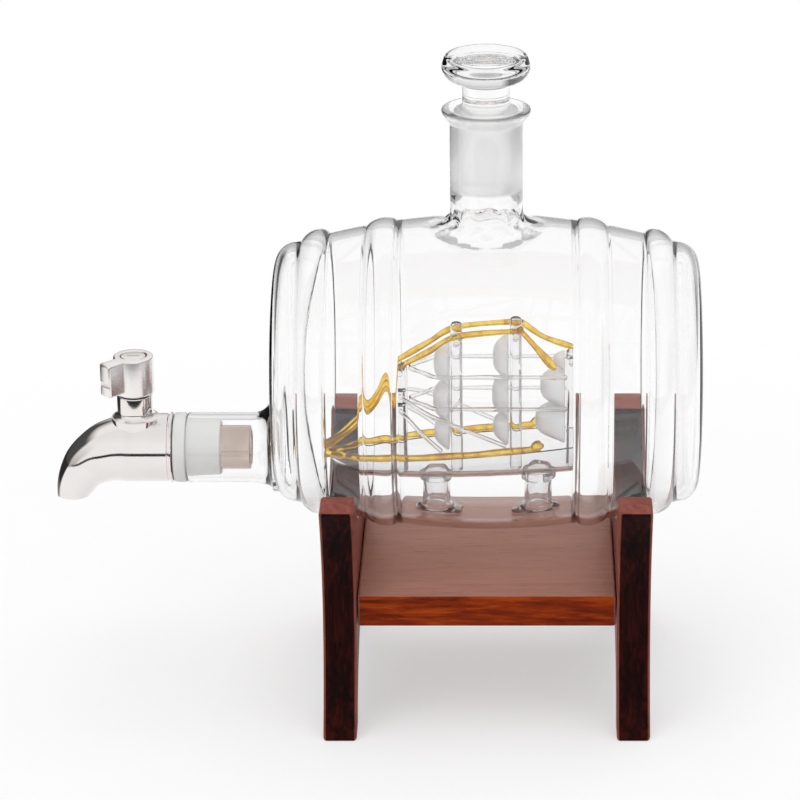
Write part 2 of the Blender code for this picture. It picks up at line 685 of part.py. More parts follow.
def make_handle():
    """The cap that sits on the spindle's tang, with its short lever, and the slotted screw on top."""
    edge, foot_edge = CAP_TOP_EDGE, CAP_FOOT_EDGE
    profile = [(0, CAP_TOP_Z), (CAP_RADIUS - edge, CAP_TOP_Z), (CAP_RADIUS, CAP_TOP_Z - edge)]
    profile += [(CAP_RADIUS, CAP_FOOT_Z + foot_edge), (CAP_RADIUS - foot_edge, CAP_FOOT_Z)]
    profile += [(0, CAP_FOOT_Z)]
    handle = turned("tap_handle", profile, SATIN, HANDLE, steps=TAP_STEPS)
    sizes = (LEVER_REACH / 2, LEVER_THICKNESS / 2, LEVER_HEIGHT / 2)
    place = (LEVER_REACH / 2, 0, CAP_TOP_Z - GAP - LEVER_HEIGHT / 2)
    joined(handle, rounded_box("lever_form", sizes, LEVER_EDGE, None, HANDLE, place))
    sizes = (LEVER_GROOVE_DEPTH, LEVER_THICKNESS, LEVER_GROOVE_WIDTH / 2)
    place = (LEVER_REACH, 0, CAP_TOP_Z - LEVER_HEIGHT + LEVER_GROOVE_Z)
    cut(handle, rounded_box("lever_groove", sizes, 0, None, HANDLE, place))
    tang_top = TURRET_HEIGHT + TANG_HEIGHT
    half = (tang_top - CAP_FOOT_Z + OVERRUN) / 2
    wide = TANG_HALF_WIDTH + GAP
    seat_z = tang_top - half
    cut(handle, rounded_box("tang_seat", (wide, wide, half), 0, None, HANDLE, (0, 0, seat_z)))
    top = CAP_TOP_Z + OVERRUN
    ledge = CAP_TOP_Z - SCREW_HEAD_THICKNESS - GAP
    head, shaft = SCREW_HEAD_RADIUS + GAP, SCREW_RADIUS + GAP
    low = tang_top - OVERRUN
    recess = [(0, top), (head, top), (head, ledge), (shaft, ledge), (shaft, low), (0, low)]
    cut(handle, turned("screw_recess", recess, None, HANDLE, steps=TAP_STEPS))
    head_foot = CAP_TOP_Z - SCREW_HEAD_THICKNESS
    tip = head_foot - SCREW_LENGTH
    profile = [(0, CAP_TOP_Z), (SCREW_HEAD_RADIUS, CAP_TOP_Z), (SCREW_HEAD_RADIUS, head_foot)]
    profile += [(SCREW_RADIUS, head_foot), (SCREW_RADIUS, tip), (0, tip)]
    screw = turned("handle_screw", profile, NICKEL, HANDLE)
    sizes = (SLOT_LENGTH / 2, SLOT_WIDTH / 2, SLOT_DEPTH)
    slot = rounded_box("screw_slot", sizes, 0, None, HANDLE, (0, 0, CAP_TOP_Z), (0, 0, -LEVER_ANGLE))
    cut(screw, slot)


def side_half_depth(drop):
    """Half depth of a support's curved side at a drop below the barrel's axis: narrowest at the waist."""
    if drop < WAIST_DROP:
        share = (WAIST_DROP - drop) / (WAIST_DROP - ARM_TOP_DROP)
        return WAIST_HALF_DEPTH + (ARM_HALF_DEPTH - WAIST_HALF_DEPTH) * share**2
    share = (drop - WAIST_DROP) / (AXIS_HEIGHT - WAIST_DROP)
    return WAIST_HALF_DEPTH + (FOOT_HALF_DEPTH - WAIST_HALF_DEPTH) * share**2


def support_outline():
    """A support seen along X, as (y, z) from the barrel's axis: a round cradle between two arms, sides
    drawn in at the waist, and two legs with an arch between them."""
    cradle = body_radius(INNER_FACE_X) + GAP
    lip_angle = math.degrees(math.acos(ARM_TOP_DROP / cradle))
    half = arc((0, 0), cradle, -90, -90 + lip_angle, CRADLE_STEPS)
    for end in (ARM_TOP_DROP, WAIST_DROP, AXIS_HEIGHT):
        start = half[-1]
        if end == ARM_TOP_DROP:
            half.append((ARM_HALF_DEPTH, -end))
            continue
        for step in range(1, SIDE_CURVE_STEPS + 1):
            drop = -start[1] + (end + start[1]) * step / SIDE_CURVE_STEPS
            half.append((side_half_depth(drop), -drop))
    arch_width = FOOT_HALF_DEPTH - LEG_DEPTH
    arch_height = AXIS_HEIGHT - BOARD_DROP - BOARD_THICKNESS - ARCH_WEB
    for y, z in arc((0, 0), 1, 0, 90, ARCH_STEPS):
        half.append((arch_width * y, arch_height * z - AXIS_HEIGHT))
    return half[1:-1], half[-1], half[0]


def support_mesh(title):
    """A flat outline as a filled 2D curve, given its thickness and then made a mesh for its holes."""
    half, arch_top, cradle_foot = support_outline()
    outline = [cradle_foot, *half, arch_top, *[(-y, z) for y, z in reversed(half)]]
    data = bpy.data.curves.new(title, "CURVE")
    data.dimensions = "2D"
    data.fill_mode = "BOTH"
    data.extrude = SUPPORT_THICKNESS / 2
    spline = data.splines.new("POLY")
    spline.points.add(len(outline) - 1)
    for number, (y, z) in enumerate(outline):
        spline.points[number].co = (y, z, 0, 1)
    spline.use_cyclic_u = True
    flat = bpy.data.objects.new(title, data)
    CUTTERS.objects.link(flat)
    bpy.context.view_layer.update()
    evaluated = flat.evaluated_get(bpy.context.evaluated_depsgraph_get())
    solid = bpy.data.meshes.new_from_object(evaluated)
    bpy.data.objects.remove(flat)
    work = bmesh.new()
    work.from_mesh(solid)
    bmesh.ops.remove_doubles(work, verts=work.verts[:], dist=WELD)
    bmesh.ops.dissolve_limit(work, angle_limit=math.radians(1), verts=work.verts[:], edges=work.edges[:])
    bmesh.ops.recalc_face_normals(work, faces=work.faces[:])
    return mesh_from(work, title)


def make_stand():
    """Two supports with a board between them, joined by hidden dowels."""
    middle = (INNER_FACE_X + OUTER_FACE_X) / 2
    dowel_z = -BOARD_DROP - BOARD_THICKNESS / 2
    board_half = INNER_FACE_X - GAP
    sizes = (board_half, BOARD_HALF_DEPTH, BOARD_THICKNESS / 2)
    board = rounded_box("stand_board", sizes, BOARD_EDGE, WOOD, DECANTER, (0, 0, dowel_z))
    for side, word in ((-1, "left"), (1, "right")):
        support = put("stand_" + word, support_mesh("stand_" + word), WOOD, DECANTER,
                      (side * middle, 0, 0), SIDE_ON)
        bevel = support.modifiers.new("edges", "BEVEL")
        bevel.width = SUPPORT_EDGE
        bevel.segments = 2
        bevel.angle_limit = math.radians(50)
        for row, name in ((-1, "front"), (1, "back")):
            place = (side * INNER_FACE_X, row * DOWEL_HALF_SPACING, dowel_z)
            top, foot = DOWEL_SUPPORT_DEPTH, -DOWEL_BOARD_DEPTH
            radius = DOWEL_RADIUS + GAP
            hole = [(0, top), (radius, top), (radius, foot), (0, foot)]
            turn = (0, side * math.radians(90), 0)
            title = word + "_" + name
            cutter = turned("hole_" + title, hole, None, DECANTER, place, turn)
            cut(support, cutter)
            cut(board, cutter)
            pin = [(0, top - GAP), (DOWEL_RADIUS, top - GAP), (DOWEL_RADIUS, foot + GAP), (0, foot + GAP)]
            turned("dowel_" + title, pin, WOOD, DECANTER, place, turn)


def ship_x(share):
    """A place along the hull, from bow to stern."""
    return HULL_BOW_X + (HULL_STERN_X - HULL_BOW_X) * share


def ship_z(share):
    """A height in the ship, from the keel to the tallest mast's top."""
    return SHIP_HEIGHT * share - HULL_KEEL_DROP


def hull_at(x):
    """Half width of the hull at a place along it, the height of its edge and its depth below that."""
    along = min(max((x - HULL_BOW_X) / (HULL_STERN_X - HULL_BOW_X), 0), 1)
    edge = -HULL_BOW_EDGE_DROP + (HULL_BOW_EDGE_DROP - HULL_STERN_EDGE_DROP) * along
    for (start, width, depth), (end, next_width, next_depth) in zip(HULL_SHARES, HULL_SHARES[1:]):
        if along <= end:
            part = (along - start) / (end - start)
            width += (next_width - width) * part
            depth += (next_depth - depth) * part
            break
    return HULL_HALF_WIDTH * width, edge, (edge + HULL_KEEL_DROP) * depth


def hull_form(title, grow, rise, material=None):
    """A boat: half ellipses across the keel's line under a flat top. It grows outwards by a length, or
    inwards by a negative one, and its top may be raised for a cutter."""
    work = bmesh.new()
    rings = []
    for along, _, _ in HULL_SHARES:
        half_width, edge, depth = hull_at(ship_x(along))
        half_width += grow
        x = ship_x(along) + grow * ((along == 1) - (along == 0))
        points = [(-half_width, edge + rise), (half_width, edge + rise)] if rise else []
        for y, z in arc((0, 0), 1, 0, -180, HULL_SECTION_STEPS):
            points.append((half_width * y, edge + (depth + grow) * z))
        rings.append([work.verts.new((x, y, z)) for y, z in points])
    count = len(rings[0])
    for ring, following in zip(rings, rings[1:]):
        for step in range(count):
            after = (step + 1) % count
            work.faces.new((ring[step], ring[after], following[after], following[step]))
    work.faces.new(rings[0])
    work.faces.new(rings[-1])
    bmesh.ops.recalc_face_normals(work, faces=work.faces[:])
    return put(title, mesh_from(work, title), material, DECANTER)


def make_hull():
    hull = hull_form("ship_hull", 0, 0, CLEAR)
    cut(hull, hull_form("hull_hollow", -HULL_WALL, OVERRUN))


def make_pedestals():
    """Two hollow stems from the barrel's floor to the hull, cut to the shape of both."""
    floor_clear = turned("floor_clear", barrel_inside(GLASS_WALL + GAP), None, DECANTER, turn=ALONG_X,
                         steps=BARREL_STEPS)
    hull_clear = hull_form("hull_clear", GAP, 0)
    bore = PEDESTAL_RADIUS - PEDESTAL_WALL
    top = -HULL_KEEL_DROP + 2 * PEDESTAL_WALL
    floor = -BARREL_RADIUS
    spread = PEDESTAL_FOOT_RADIUS - PEDESTAL_RADIUS
    ankle = GLASS_WALL - BARREL_RADIUS + PEDESTAL_FOOT_HEIGHT
    toe = ankle - PEDESTAL_FOOT_HEIGHT / 2
    for side, word in ((-1, "bow"), (1, "stern")):
        profile = [(bore, top), (PEDESTAL_RADIUS, top), (PEDESTAL_RADIUS, ankle)]
        profile += [(PEDESTAL_RADIUS + spread / 3, toe), (PEDESTAL_FOOT_RADIUS, toe - PEDESTAL_WALL / 2)]
        profile += [(PEDESTAL_FOOT_RADIUS, floor), (bore + spread / 2, floor)]
        profile += [(bore + spread / 4, toe - PEDESTAL_WALL / 2), (bore, ankle)]
        pedestal = turned("pedestal_" + word, profile, CLEAR, DECANTER, (side * PEDESTAL_X, 0, 0),
                          ring=True)
        change(pedestal, floor_clear, "INTERSECT")
        cut(pedestal, hull_clear)


def stay_z(word):
    """Height of a stay where it rests on a mast's crossbar."""
    return ship_z(MAST_SHARES[word][3]) + CROSSBAR_RADIUS + GAP + STAY_RADIUS


def mast_x(word):
    return ship_x(MAST_SHARES[word][0])


def mast_radius(word):
    return MAST_RADIUS * MAST_SHARES[word][2]


def rail_z(x):
    return hull_at(x)[1] + GAP + RAIL_RADIUS


def make_masts():
    """Four masts that stand in the hull, each with a crossbar that its stays rest on."""
    for word, (_, height, _, bar_height, bar_share) in MAST_SHARES.items():
        x, top, radius = mast_x(word), ship_z(height), mast_radius(word)
        _, edge, depth = hull_at(x)
        foot = edge - depth + HULL_WALL + 2 * GAP
        profile = [(0, top), (radius * 0.7, top - radius * 0.15), (radius, top - radius / 2)]
        profile += [(radius, foot), (0, foot)]
        mast = turned("mast_" + word, profile, CLEAR, DECANTER, (x, 0, 0), steps=THIN_STEPS)
        reach = SAIL_HALF_WIDTH * bar_share
        bar = [(0, reach), (CROSSBAR_RADIUS, reach), (CROSSBAR_RADIUS, -reach), (0, -reach)]
        place = (x, 0, ship_z(bar_height))
        joined(mast, turned("crossbar_" + word, bar, None, DECANTER, place, ACROSS_Y, THIN_STEPS))


def make_sails():
    """Frosted sails that belly towards the bow, one above another in front of each mast."""
    for word, (mast, top_share, foot_share, width_share, belly_share) in SAIL_SHARES.items():
        front = mast_x(mast) - mast_radius(mast) - GAP
        top, foot = ship_z(top_share), ship_z(foot_share)
        half_width = SAIL_HALF_WIDTH * width_share - SAIL_THICKNESS
        half_height = (top - foot) / 2 - SAIL_THICKNESS
        work = bmesh.new()
        bmesh.ops.create_grid(work, x_segments=SAIL_GRID_STEPS, y_segments=SAIL_GRID_STEPS, size=1)
        for point in work.verts:
            across, up = point.co.x, point.co.y
            bulge = SAIL_BELLY * belly_share * (1 - abs(across) ** 2.5) * (1 - abs(up) ** 3)
            point.co = (front - bulge, half_width * across, (top + foot) / 2 + half_height * up)
        bmesh.ops.recalc_face_normals(work, faces=work.faces[:])
        if sum(face.normal.x for face in work.faces) > 0:
            bmesh.ops.reverse_faces(work, faces=work.faces[:])
        sail = put("sail_" + word, mesh_from(work, "sail_" + word), FROSTED, DECANTER)
        solid = sail.modifiers.new("thickness", "SOLIDIFY")
        solid.thickness = SAIL_THICKNESS
        solid.offset = 1


def make_rails():
    """Amber rods on the hull's two edges, meeting at the bow and ending in a bead each."""
    end_x = ship_x(RAIL_END_SHARE)
    for side, word in ((-1, "near"), (1, "far")):
        path = [Vector((BOW_TIP_X, side * BOW_HALF_SPACING, rail_z(BOW_TIP_X)))]
        for along, _, _ in HULL_SHARES:
            x = ship_x(along)
            if x < end_x - RAIL_BEAD_LENGTH:
                path.append(Vector((x, side * max(hull_at(x)[0], BOW_HALF_SPACING), rail_z(x))))
        y = side * hull_at(end_x)[0]
        start_x = end_x - RAIL_BEAD_LENGTH
        path = smooth_path(path + [Vector((start_x, y, rail_z(start_x)))], 2)
        swellings = [1] * len(path)
        swell = RAIL_BEAD_RADIUS / RAIL_RADIUS
        bead_z = rail_z(end_x) + RAIL_BEAD_RADIUS - RAIL_RADIUS
        for along, share in BEAD_SHARES:
            path.append(Vector((start_x + RAIL_BEAD_LENGTH * along, y, bead_z)))
            swellings.append(swell * share)
        rod("rail_" + word, path, RAIL_RADIUS, AMBER, DECANTER, swellings)


def make_stays():
    """Amber rods from the bow tip up to the first mast and over the crossbars, one to each side. The far
    one rests on the stern mast too, the near one ends in front of that mast."""
    for side, word in ((-1, "near"), (1, "far")):
        y = side * STAY_HALF_SPACING
        tip_z = rail_z(BOW_TIP_X) + RAIL_RADIUS + GAP + STAY_RADIUS
        tip = Vector((BOW_TIP_X, side * BOW_HALF_SPACING, tip_z))
        mast = Vector((mast_x("bow"), side * STAY_MAST_HALF_SPACING, stay_z("bow")))
        path = [tip]
        for along, up in FORESTAY_SHARES:
            point = tip.lerp(mast, along)
            point.z = tip.z + (mast.z - tip.z) * up
            path.append(point)
        main = Vector((mast_x("main"), y, stay_z("main")))
        mizzen = Vector((mast_x("mizzen"), y, stay_z("mizzen")))
        halfway = mast.lerp(main, 0.5)
        halfway.y = y
        past = mizzen + Vector((2 * CROSSBAR_RADIUS, 0, -GAP))
        path += [mast, halfway, main, mizzen, past]
        if side > 0:
            stern = Vector((mast_x("stern"), y, stay_z("stern")))
            path += [mizzen.lerp(stern, 0.5) - Vector((0, 0, STAY_RADIUS)), stern]
            path.append(stern + Vector((2 * STAY_RADIUS, 0, 0)))
        else:
            end_x = mast_x("stern") - mast_radius("stern") - 4 * STAY_RADIUS
            end_z = ship_z(SAIL_SHARES["stern_middle"][1]) + 2 * STAY_RADIUS
            path.append(Vector((end_x, y, end_z)))
        path = smooth_path(path, STAY_STEPS)
        swellings = [1] * len(path)
        swellings[-2:] = [1.5, 0.9] if side < 0 else [1.1, 0.8]
        rod("stay_" + word, path, STAY_RADIUS, AMBER, DECANTER, swellings)


def make_rigging():
    """Clear rods: two braces a side along the sails, and shrouds from the first mast to the rails."""
    edge = SAIL_HALF_WIDTH + GAP + BRACE_RADIUS
    bow_x, bow_radius = mast_x("bow"), mast_radius("bow")
    bend_x = mast_x("main") - SAIL_BELLY * SAIL_SHARES["main_upper"][4] - 3 * BRACE_RADIUS
    for side, word in ((-1, "near"), (1, "far")):
        for level, height in BRACE_SHARES.items():
            z = ship_z(height)
            first = Vector((bow_x + bow_radius + GAP + BRACE_RADIUS, side * 2 * BRACE_RADIUS, z))
            bend = Vector((bend_x, side * edge, z))
            path = [first, first.lerp(bend, 0.45), bend]
            for x in (mast_x("main"), mast_x("mizzen"), ship_x(BRACE_END_SHARE)):
                path.append(Vector((x, side * edge, z)))
            rod(f"brace_{level}_{word}", smooth_path(path, 2), BRACE_RADIUS, CLEAR, DECANTER)
        clear = (RAIL_RADIUS + SHROUD_RADIUS + GAP) * math.sqrt(0.5)
        for length, (top, foot_share, along, out) in SHROUD_SHARES.items():
            foot_x = ship_x(foot_share)
            head = Vector((bow_x, side * (bow_radius + SHROUD_RADIUS + GAP), ship_z(top)))
            foot = Vector((foot_x, side * (hull_at(foot_x)[0] - clear), rail_z(foot_x) + clear))
            knee = head.lerp(foot, along)
            knee.y = side * edge * out
            path = smooth_path([head, knee, foot], 3)
            rod(f"shroud_{length}_{word}", path, SHROUD_RADIUS, CLEAR, DECANTER)


for old in list(bpy.data.objects):
    bpy.data.objects.remove(old)

PARTS = collection("decanter_with_tap")
CUTTERS = collection("cutters")
CLEAR = finish("clear_glass", (0.95, 0.96, 0.96), 0.02, transmission=1.0)
FROSTED = finish("frosted_glass", (0.88, 0.89, 0.90), 0.45, transmission=0.6)
AMBER = finish("amber_glass", (0.76, 0.45, 0.07), 0.08, transmission=0.6)
NICKEL = finish("polished_nickel", (0.78, 0.75, 0.72), 0.12, metallic=1.0)
SATIN = finish("satin_nickel", (0.80, 0.78, 0.76), 0.28, metallic=1.0)
BRASS = finish("brass", (0.72, 0.55, 0.25), 0.25, metallic=1.0)
SILICONE = finish("silicone", (0.72, 0.73, 0.74), 0.45)
RUBBER = finish("black_rubber", (0.03, 0.03, 0.03), 0.6)
WOOD = finish("mahogany", (0.16, 0.04, 0.02), 0.25)

DECANTER = empty("barrel_middle", place=(BARREL_X, 0, AXIS_HEIGHT))
TAP = empty("tap_axis", DECANTER, (TURRET_X, 0, -OUTLET_DROP))
HANDLE = empty("handle_axis", TAP, turn=(0, 0, LEVER_ANGLE))

make_stand()
make_barrel()
make_stopper()
make_bung()
make_shank()
make_tap_body()
make_spindle()
make_seals()
make_handle()
make_hull()
make_pedestals()
make_masts()
make_sails()
make_rails()
make_stays()
make_rigging()
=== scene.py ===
"""Looks of the decanter with tap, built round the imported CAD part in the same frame. Metres, +Z up."""

import json
import math

import bmesh
import bpy
from mathutils import Euler, Matrix, Vector

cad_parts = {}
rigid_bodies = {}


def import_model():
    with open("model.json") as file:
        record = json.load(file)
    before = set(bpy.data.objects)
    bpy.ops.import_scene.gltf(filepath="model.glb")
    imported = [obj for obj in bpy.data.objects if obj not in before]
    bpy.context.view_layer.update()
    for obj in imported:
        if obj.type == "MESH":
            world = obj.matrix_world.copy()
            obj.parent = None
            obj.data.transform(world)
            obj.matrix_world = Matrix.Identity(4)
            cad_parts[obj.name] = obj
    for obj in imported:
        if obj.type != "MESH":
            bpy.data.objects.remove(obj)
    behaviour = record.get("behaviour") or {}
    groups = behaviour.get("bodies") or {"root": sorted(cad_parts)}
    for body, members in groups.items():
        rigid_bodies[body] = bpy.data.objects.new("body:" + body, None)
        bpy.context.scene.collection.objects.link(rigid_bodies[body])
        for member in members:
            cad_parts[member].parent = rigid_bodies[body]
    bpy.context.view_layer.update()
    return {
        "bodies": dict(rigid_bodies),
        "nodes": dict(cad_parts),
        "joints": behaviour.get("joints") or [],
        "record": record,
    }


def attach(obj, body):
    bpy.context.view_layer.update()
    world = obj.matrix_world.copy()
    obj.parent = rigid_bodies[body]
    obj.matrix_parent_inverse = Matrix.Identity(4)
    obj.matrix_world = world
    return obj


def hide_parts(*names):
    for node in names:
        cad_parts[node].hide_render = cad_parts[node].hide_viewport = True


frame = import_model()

# Fits: the air between pieces that touch or are fused, and how far a cutter runs past a face
GAP = 0.0003
OVERRUN = 0.002
# Points nearer than this are made one
WELD = 2e-6

# Sides of what is turned or drawn
BARREL_SIDES = 160
NECK_SIDES = 96
BUNG_SIDES = 80
TAP_SIDES = 72
TURRET_SIDES = 64
SCREW_SIDES = 48
BORE_SIDES = 40
MAST_SIDES = 32
CROSSBAR_SIDES = 20
ROD_SIDES = 16

# Barrel, blown in one piece: half length, radius in the middle and at the shoulder, end and wall
BARREL_HALF_LENGTH = 0.0793
BARREL_RADIUS = 0.0583
SHOULDER_X = 0.0728
SHOULDER_RADIUS = 0.0472
END_CORNER_RADIUS = 0.0078
END_DOME_HEIGHT = 0.0014
GLASS_WALL = 0.0021
GLASS_IOR = 1.47

# Hoops, two pairs blown into the wall. A higher power makes a hoop's bulge narrower. Inside they are
# lower, and under the inner hoops narrower too: the thick glass there bends what is seen through it
HOOP_POWER = 0.72
INSIDE_POWER = 0.95
INSIDE_SHARE = 0.9
INNER_HOOP_X = 0.0386
INNER_HOOP_HALF_WIDTH = 0.0054
INNER_HOOP_HEIGHT = 0.0018
OUTER_HOOP_X = 0.0631
OUTER_HOOP_HALF_WIDTH = 0.0050
OUTER_HOOP_HEIGHT = 0.0026

# Neck with a ground socket
NECK_HEIGHT = 0.0430
NECK_RADIUS = 0.0133
NECK_ROOT_RADIUS = 0.0042
NECK_WALL = 0.0021
RIM_RADIUS = 0.0161
RIM_HEIGHT = 0.0056
RIM_EDGE = 0.0012
RIM_LIP = 0.0005
SOCKET_RADIUS = 0.0120
SOCKET_LENGTH = 0.029
SOCKET_SINK = 0.0015
SOCKET_TAPER_SHARE = 0.05
# The ring that is melted where the neck is fused on, as shares of the root's radius: its middle out from
# the neck's wall, its half width and its half height. It is smoothed so many times
MELT_MIDDLE, MELT_HALF_WIDTH, MELT_HALF_HEIGHT = 0.4, 1.4, 1.6
MELT_ROUNDS = 12
# The melted glass stands in folds: how far up the root they are highest, their height, and each wave's
# share of it, its number round the neck, its slant and its turn
FOLD_MIDDLE = 0.2
FOLD_HEIGHT = 0.00022
FOLD_WAVES = ((1.0, 9, 2, 0), (0.7, 14, -3, 1))

# Stopper
STOPPER_WAIST_RADIUS = 0.0087
STOPPER_WAIST_HEIGHT = 0.0103
STOPPER_HEAD_RADIUS = 0.0159
STOPPER_HEAD_HEIGHT = 0.0105
STOPPER_TOP_RADIUS = 0.0115
STOPPER_DISH_DEPTH = 0.0006
# The dish's radii and shares of its depth, then the head's shares of its swelling and height
DISH_POINTS = ((0, 1), (0.0040, 0.9), (0.0085, 0.45))
HEAD_SHARES = ((0.66, 0.90), (0.93, 0.68), (1, 0.43), (0.66, 0.17), (0.15, 0.04))
# The waist's points: out from its radius, and up from the head's foot or from the neck's top
WAIST_TOP_POINTS = ((0.0012, 0.0003), (0, -0.0008), (-0.0001, -0.0030))
WAIST_FOOT_POINTS = ((0, 0.0025), (0.0009, 0.0009))
# The plug's shoulder: out from its radius and up from the neck's top
SHOULDER_POINTS = ((-0.0007, 0.0001), (0, -0.0006))
PLUG_FOOT_EDGE = 0.0008
# How deep the ground skins of the plug and of the socket reach
PLUG_SKIN = 0.0006
SOCKET_SKIN = 0.0002

# Outlet tube, low on the barrel's left end
OUTLET_DROP = 0.0302
OUTLET_RADIUS = 0.0131
OUTLET_LENGTH = 0.0321
OUTLET_WALL = 0.0020
OUTLET_LIP = 0.0007
OUTLET_ROOT_LENGTH = 0.0080
OUTLET_ROOT_SPREAD = 0.0066
OUTLET_ROOT_LIFT = 0.0034
OUTLET_ROOT_DEPTH = 0.0085
ROOT_SHARES = ((0.35, 0.07, 0), (0.65, 0.24, 0.22), (0.88, 0.55, 0.60), (1, 1, 1))

# Bung and shank
BUNG_FLANGE_RADIUS = 0.0130
BUNG_FLANGE_THICKNESS = 0.0048
BUNG_LENGTH = 0.0128
BUNG_TAPER = 0.0006
BUNG_EDGE = 0.0008
BUNG_FLANGE_EDGE = 0.0007
BUNG_BORE_GAP = 0.00005
SHANK_RADIUS = 0.0082
SHANK_WALL = 0.0014
SHANK_EDGE = 0.0005
SHANK_REACH = 0.0108
SHANK_SEAT_DEPTH = 0.0055

# Tap body: the turret's setback is from the body's rear face, the spout's reach from the turret's axis
TAP_RADIUS = 0.0128
TAP_LIP_HEIGHT = 0.0004
TAP_LIP_WIDTH = 0.0009
TAP_EDGE = 0.0003
TURRET_SETBACK = 0.0139
TURRET_RADIUS = 0.0066
TURRET_HEIGHT = 0.0213
TURRET_ROOT_RADIUS = 0.0026
TURRET_EDGE = 0.0004
SPOUT_REACH = 0.0242
SPOUT_DROP = 0.0187
MOUTH_RADIUS = 0.0062
WATERWAY_RADIUS = 0.0042
# Sections of the spout after the turret: shares of reach and drop, of the way from body to mouth
# radius, and of a right angle that the section is turned by
SPOUT_SHARES = (
    (0.14, 0.00, 0.00, 0.00),
    (0.37, 0.05, 0.16, 0.08),
    (0.56, 0.13, 0.28, 0.14),
    (0.72, 0.27, 0.44, 0.25),
    (0.85, 0.45, 0.59, 0.40),
    (0.93, 0.65, 0.76, 0.58),
    (0.98, 0.84, 0.91, 0.80),
    (1.00, 1.00, 1.00, 1.00),
)

# Valve: heights are from the tap's own axis
SPINDLE_RADIUS = 0.0050
SPINDLE_DEPTH = 0.0072
TANG_HALF_WIDTH = 0.0022
TANG_HEIGHT = 0.0087

# Handle
CAP_RADIUS = 0.0074
CAP_HEIGHT = 0.0147
CAP_TOP_EDGE = 0.0007
CAP_FOOT_EDGE = 0.0013
CAP_CLEARANCE = 0.0005
LEVER_REACH = 0.0140
LEVER_THICKNESS = 0.0058
LEVER_HEIGHT = 0.0128
LEVER_EDGE = 0.0011
LEVER_SINK = 0.00005
LEVER_GROOVE_DEPTH = 0.0006
LEVER_GROOVE_WIDTH = 0.0020
LEVER_GROOVE_Z = 0.0048
LEVER_GROOVE_EDGE = 0.0002
LEVER_ANGLE = math.radians(225)
SCREW_HEAD_RADIUS = 0.0046
SCREW_HEAD_THICKNESS = 0.0012
SCREW_HEAD_EDGE = 0.0004
SCREW_HEAD_SINK = 0.0001
SCREW_RECESS_EDGE = 0.0003
SCREW_RADIUS = 0.0015
SCREW_LENGTH = 0.0094
SLOT_LENGTH = 0.0046
SLOT_WIDTH = 0.0009
SLOT_DEPTH = 0.0005

# Stand
AXIS_HEIGHT = 0.1225
HOOP_CLEARANCE = 0.0037
SUPPORT_THICKNESS = 0.0123
ARM_TOP_DROP = 0.0320
ARM_HALF_DEPTH = 0.0602
WAIST_DROP = 0.0780
WAIST_HALF_DEPTH = 0.0462
FOOT_HALF_DEPTH = 0.0602
LEG_DEPTH = 0.0150
ARCH_WEB = 0.0095
SUPPORT_EDGE = 0.0016
BOARD_DROP = 0.0720
BOARD_THICKNESS = 0.0120
BOARD_HALF_DEPTH = 0.0430
BOARD_EDGE = 0.0011

# Ship: hull
HULL_BOW_X = -0.0580
HULL_STERN_X = 0.0352
HULL_HALF_WIDTH = 0.0130
HULL_BOW_EDGE_DROP = 0.0340
HULL_STERN_EDGE_DROP = 0.0260
HULL_KEEL_DROP = 0.0415
HULL_WALL = 0.0012
# Stations from bow to stern: shares of length, half width and depth
HULL_SHARES = (
    (0.00, 0.13, 0.25),
    (0.06, 0.36, 0.62),
    (0.13, 0.57, 0.93),
    (0.25, 0.80, 1.00),
    (0.42, 0.96, 1.00),
    (0.62, 1.00, 0.97),
    (0.82, 0.95, 0.91),
    (1.00, 0.82, 0.84),
)

# Ship: pedestals, one to each side of the barrel's middle
PEDESTAL_X = 0.0190
PEDESTAL_RADIUS = 0.0053
PEDESTAL_WALL = 0.0013
PEDESTAL_FOOT_RADIUS = 0.0098
PEDESTAL_FOOT_HEIGHT = 0.0045
PEDESTAL_COLLAR = 0.0008
PEDESTAL_COLLAR_HEIGHT = 0.0030
PEDESTAL_NIP = 0.0002
PEDESTAL_NIP_DROP = 0.0050
# The uneven waves of its collar and foot: share of the radius, number round it and turn
PEDESTAL_WAVES = ((0.06, 3, 0), (0.05, 7, 1))

# Ship: masts from bow to stern. Heights in the ship are shares of its height from the keel to the
# tallest mast's top, places along it are shares of the hull's length
SHIP_TOP_Z = 0.0214
MAST_RADIUS = 0.0022
# A mast's rounded tip and where its straight side starts, as shares of its radius
MAST_TIP_SHARE = 0.65
MAST_SIDE_SHARE = 0.8
CROSSBAR_RADIUS = 0.0011
# Each mast's place, top, radius, crossbar's height and crossbar's half length as a share of a sail's
MAST_SHARES = {
    "bow": (0.277, 0.701, 1.27, 0.676, 0.56),
    "main": (0.502, 0.968, 1.00, 0.866, 0.70),
    "mizzen": (0.736, 1.000, 1.00, 0.901, 0.70),
    "stern": (0.957, 0.800, 0.91, 0.746, 0.68),
}

# Ship: sails
SAIL_THICKNESS = 0.0012
SAIL_HALF_WIDTH = 0.0100
SAIL_BELLY = 0.0110
SAIL_STEPS = 20
# How flat the belly is before it falls off to the sides, and to the top and foot
SAIL_POWERS = (2.5, 4.5)
# Each sail's mast, its top and foot, and its shares of half width and belly
SAIL_SHARES = {
    "main_upper": ("main", 0.825, 0.612, 1, 0.43),
    "main_middle": ("main", 0.602, 0.374, 1, 0.46),
    "main_lower": ("main", 0.364, 0.207, 1, 0.43),
    "mizzen_upper": ("mizzen", 0.863, 0.647, 1, 0.43),
    "mizzen_middle": ("mizzen", 0.637, 0.402, 1, 0.46),
    "mizzen_lower": ("mizzen", 0.392, 0.238, 1, 0.43),
    "stern_upper": ("stern", 0.781, 0.685, 0.4, 0.30),
    "stern_middle": ("stern", 0.675, 0.469, 1, 0.73),
    "stern_lower": ("stern", 0.459, 0.254, 1, 0.90),
}

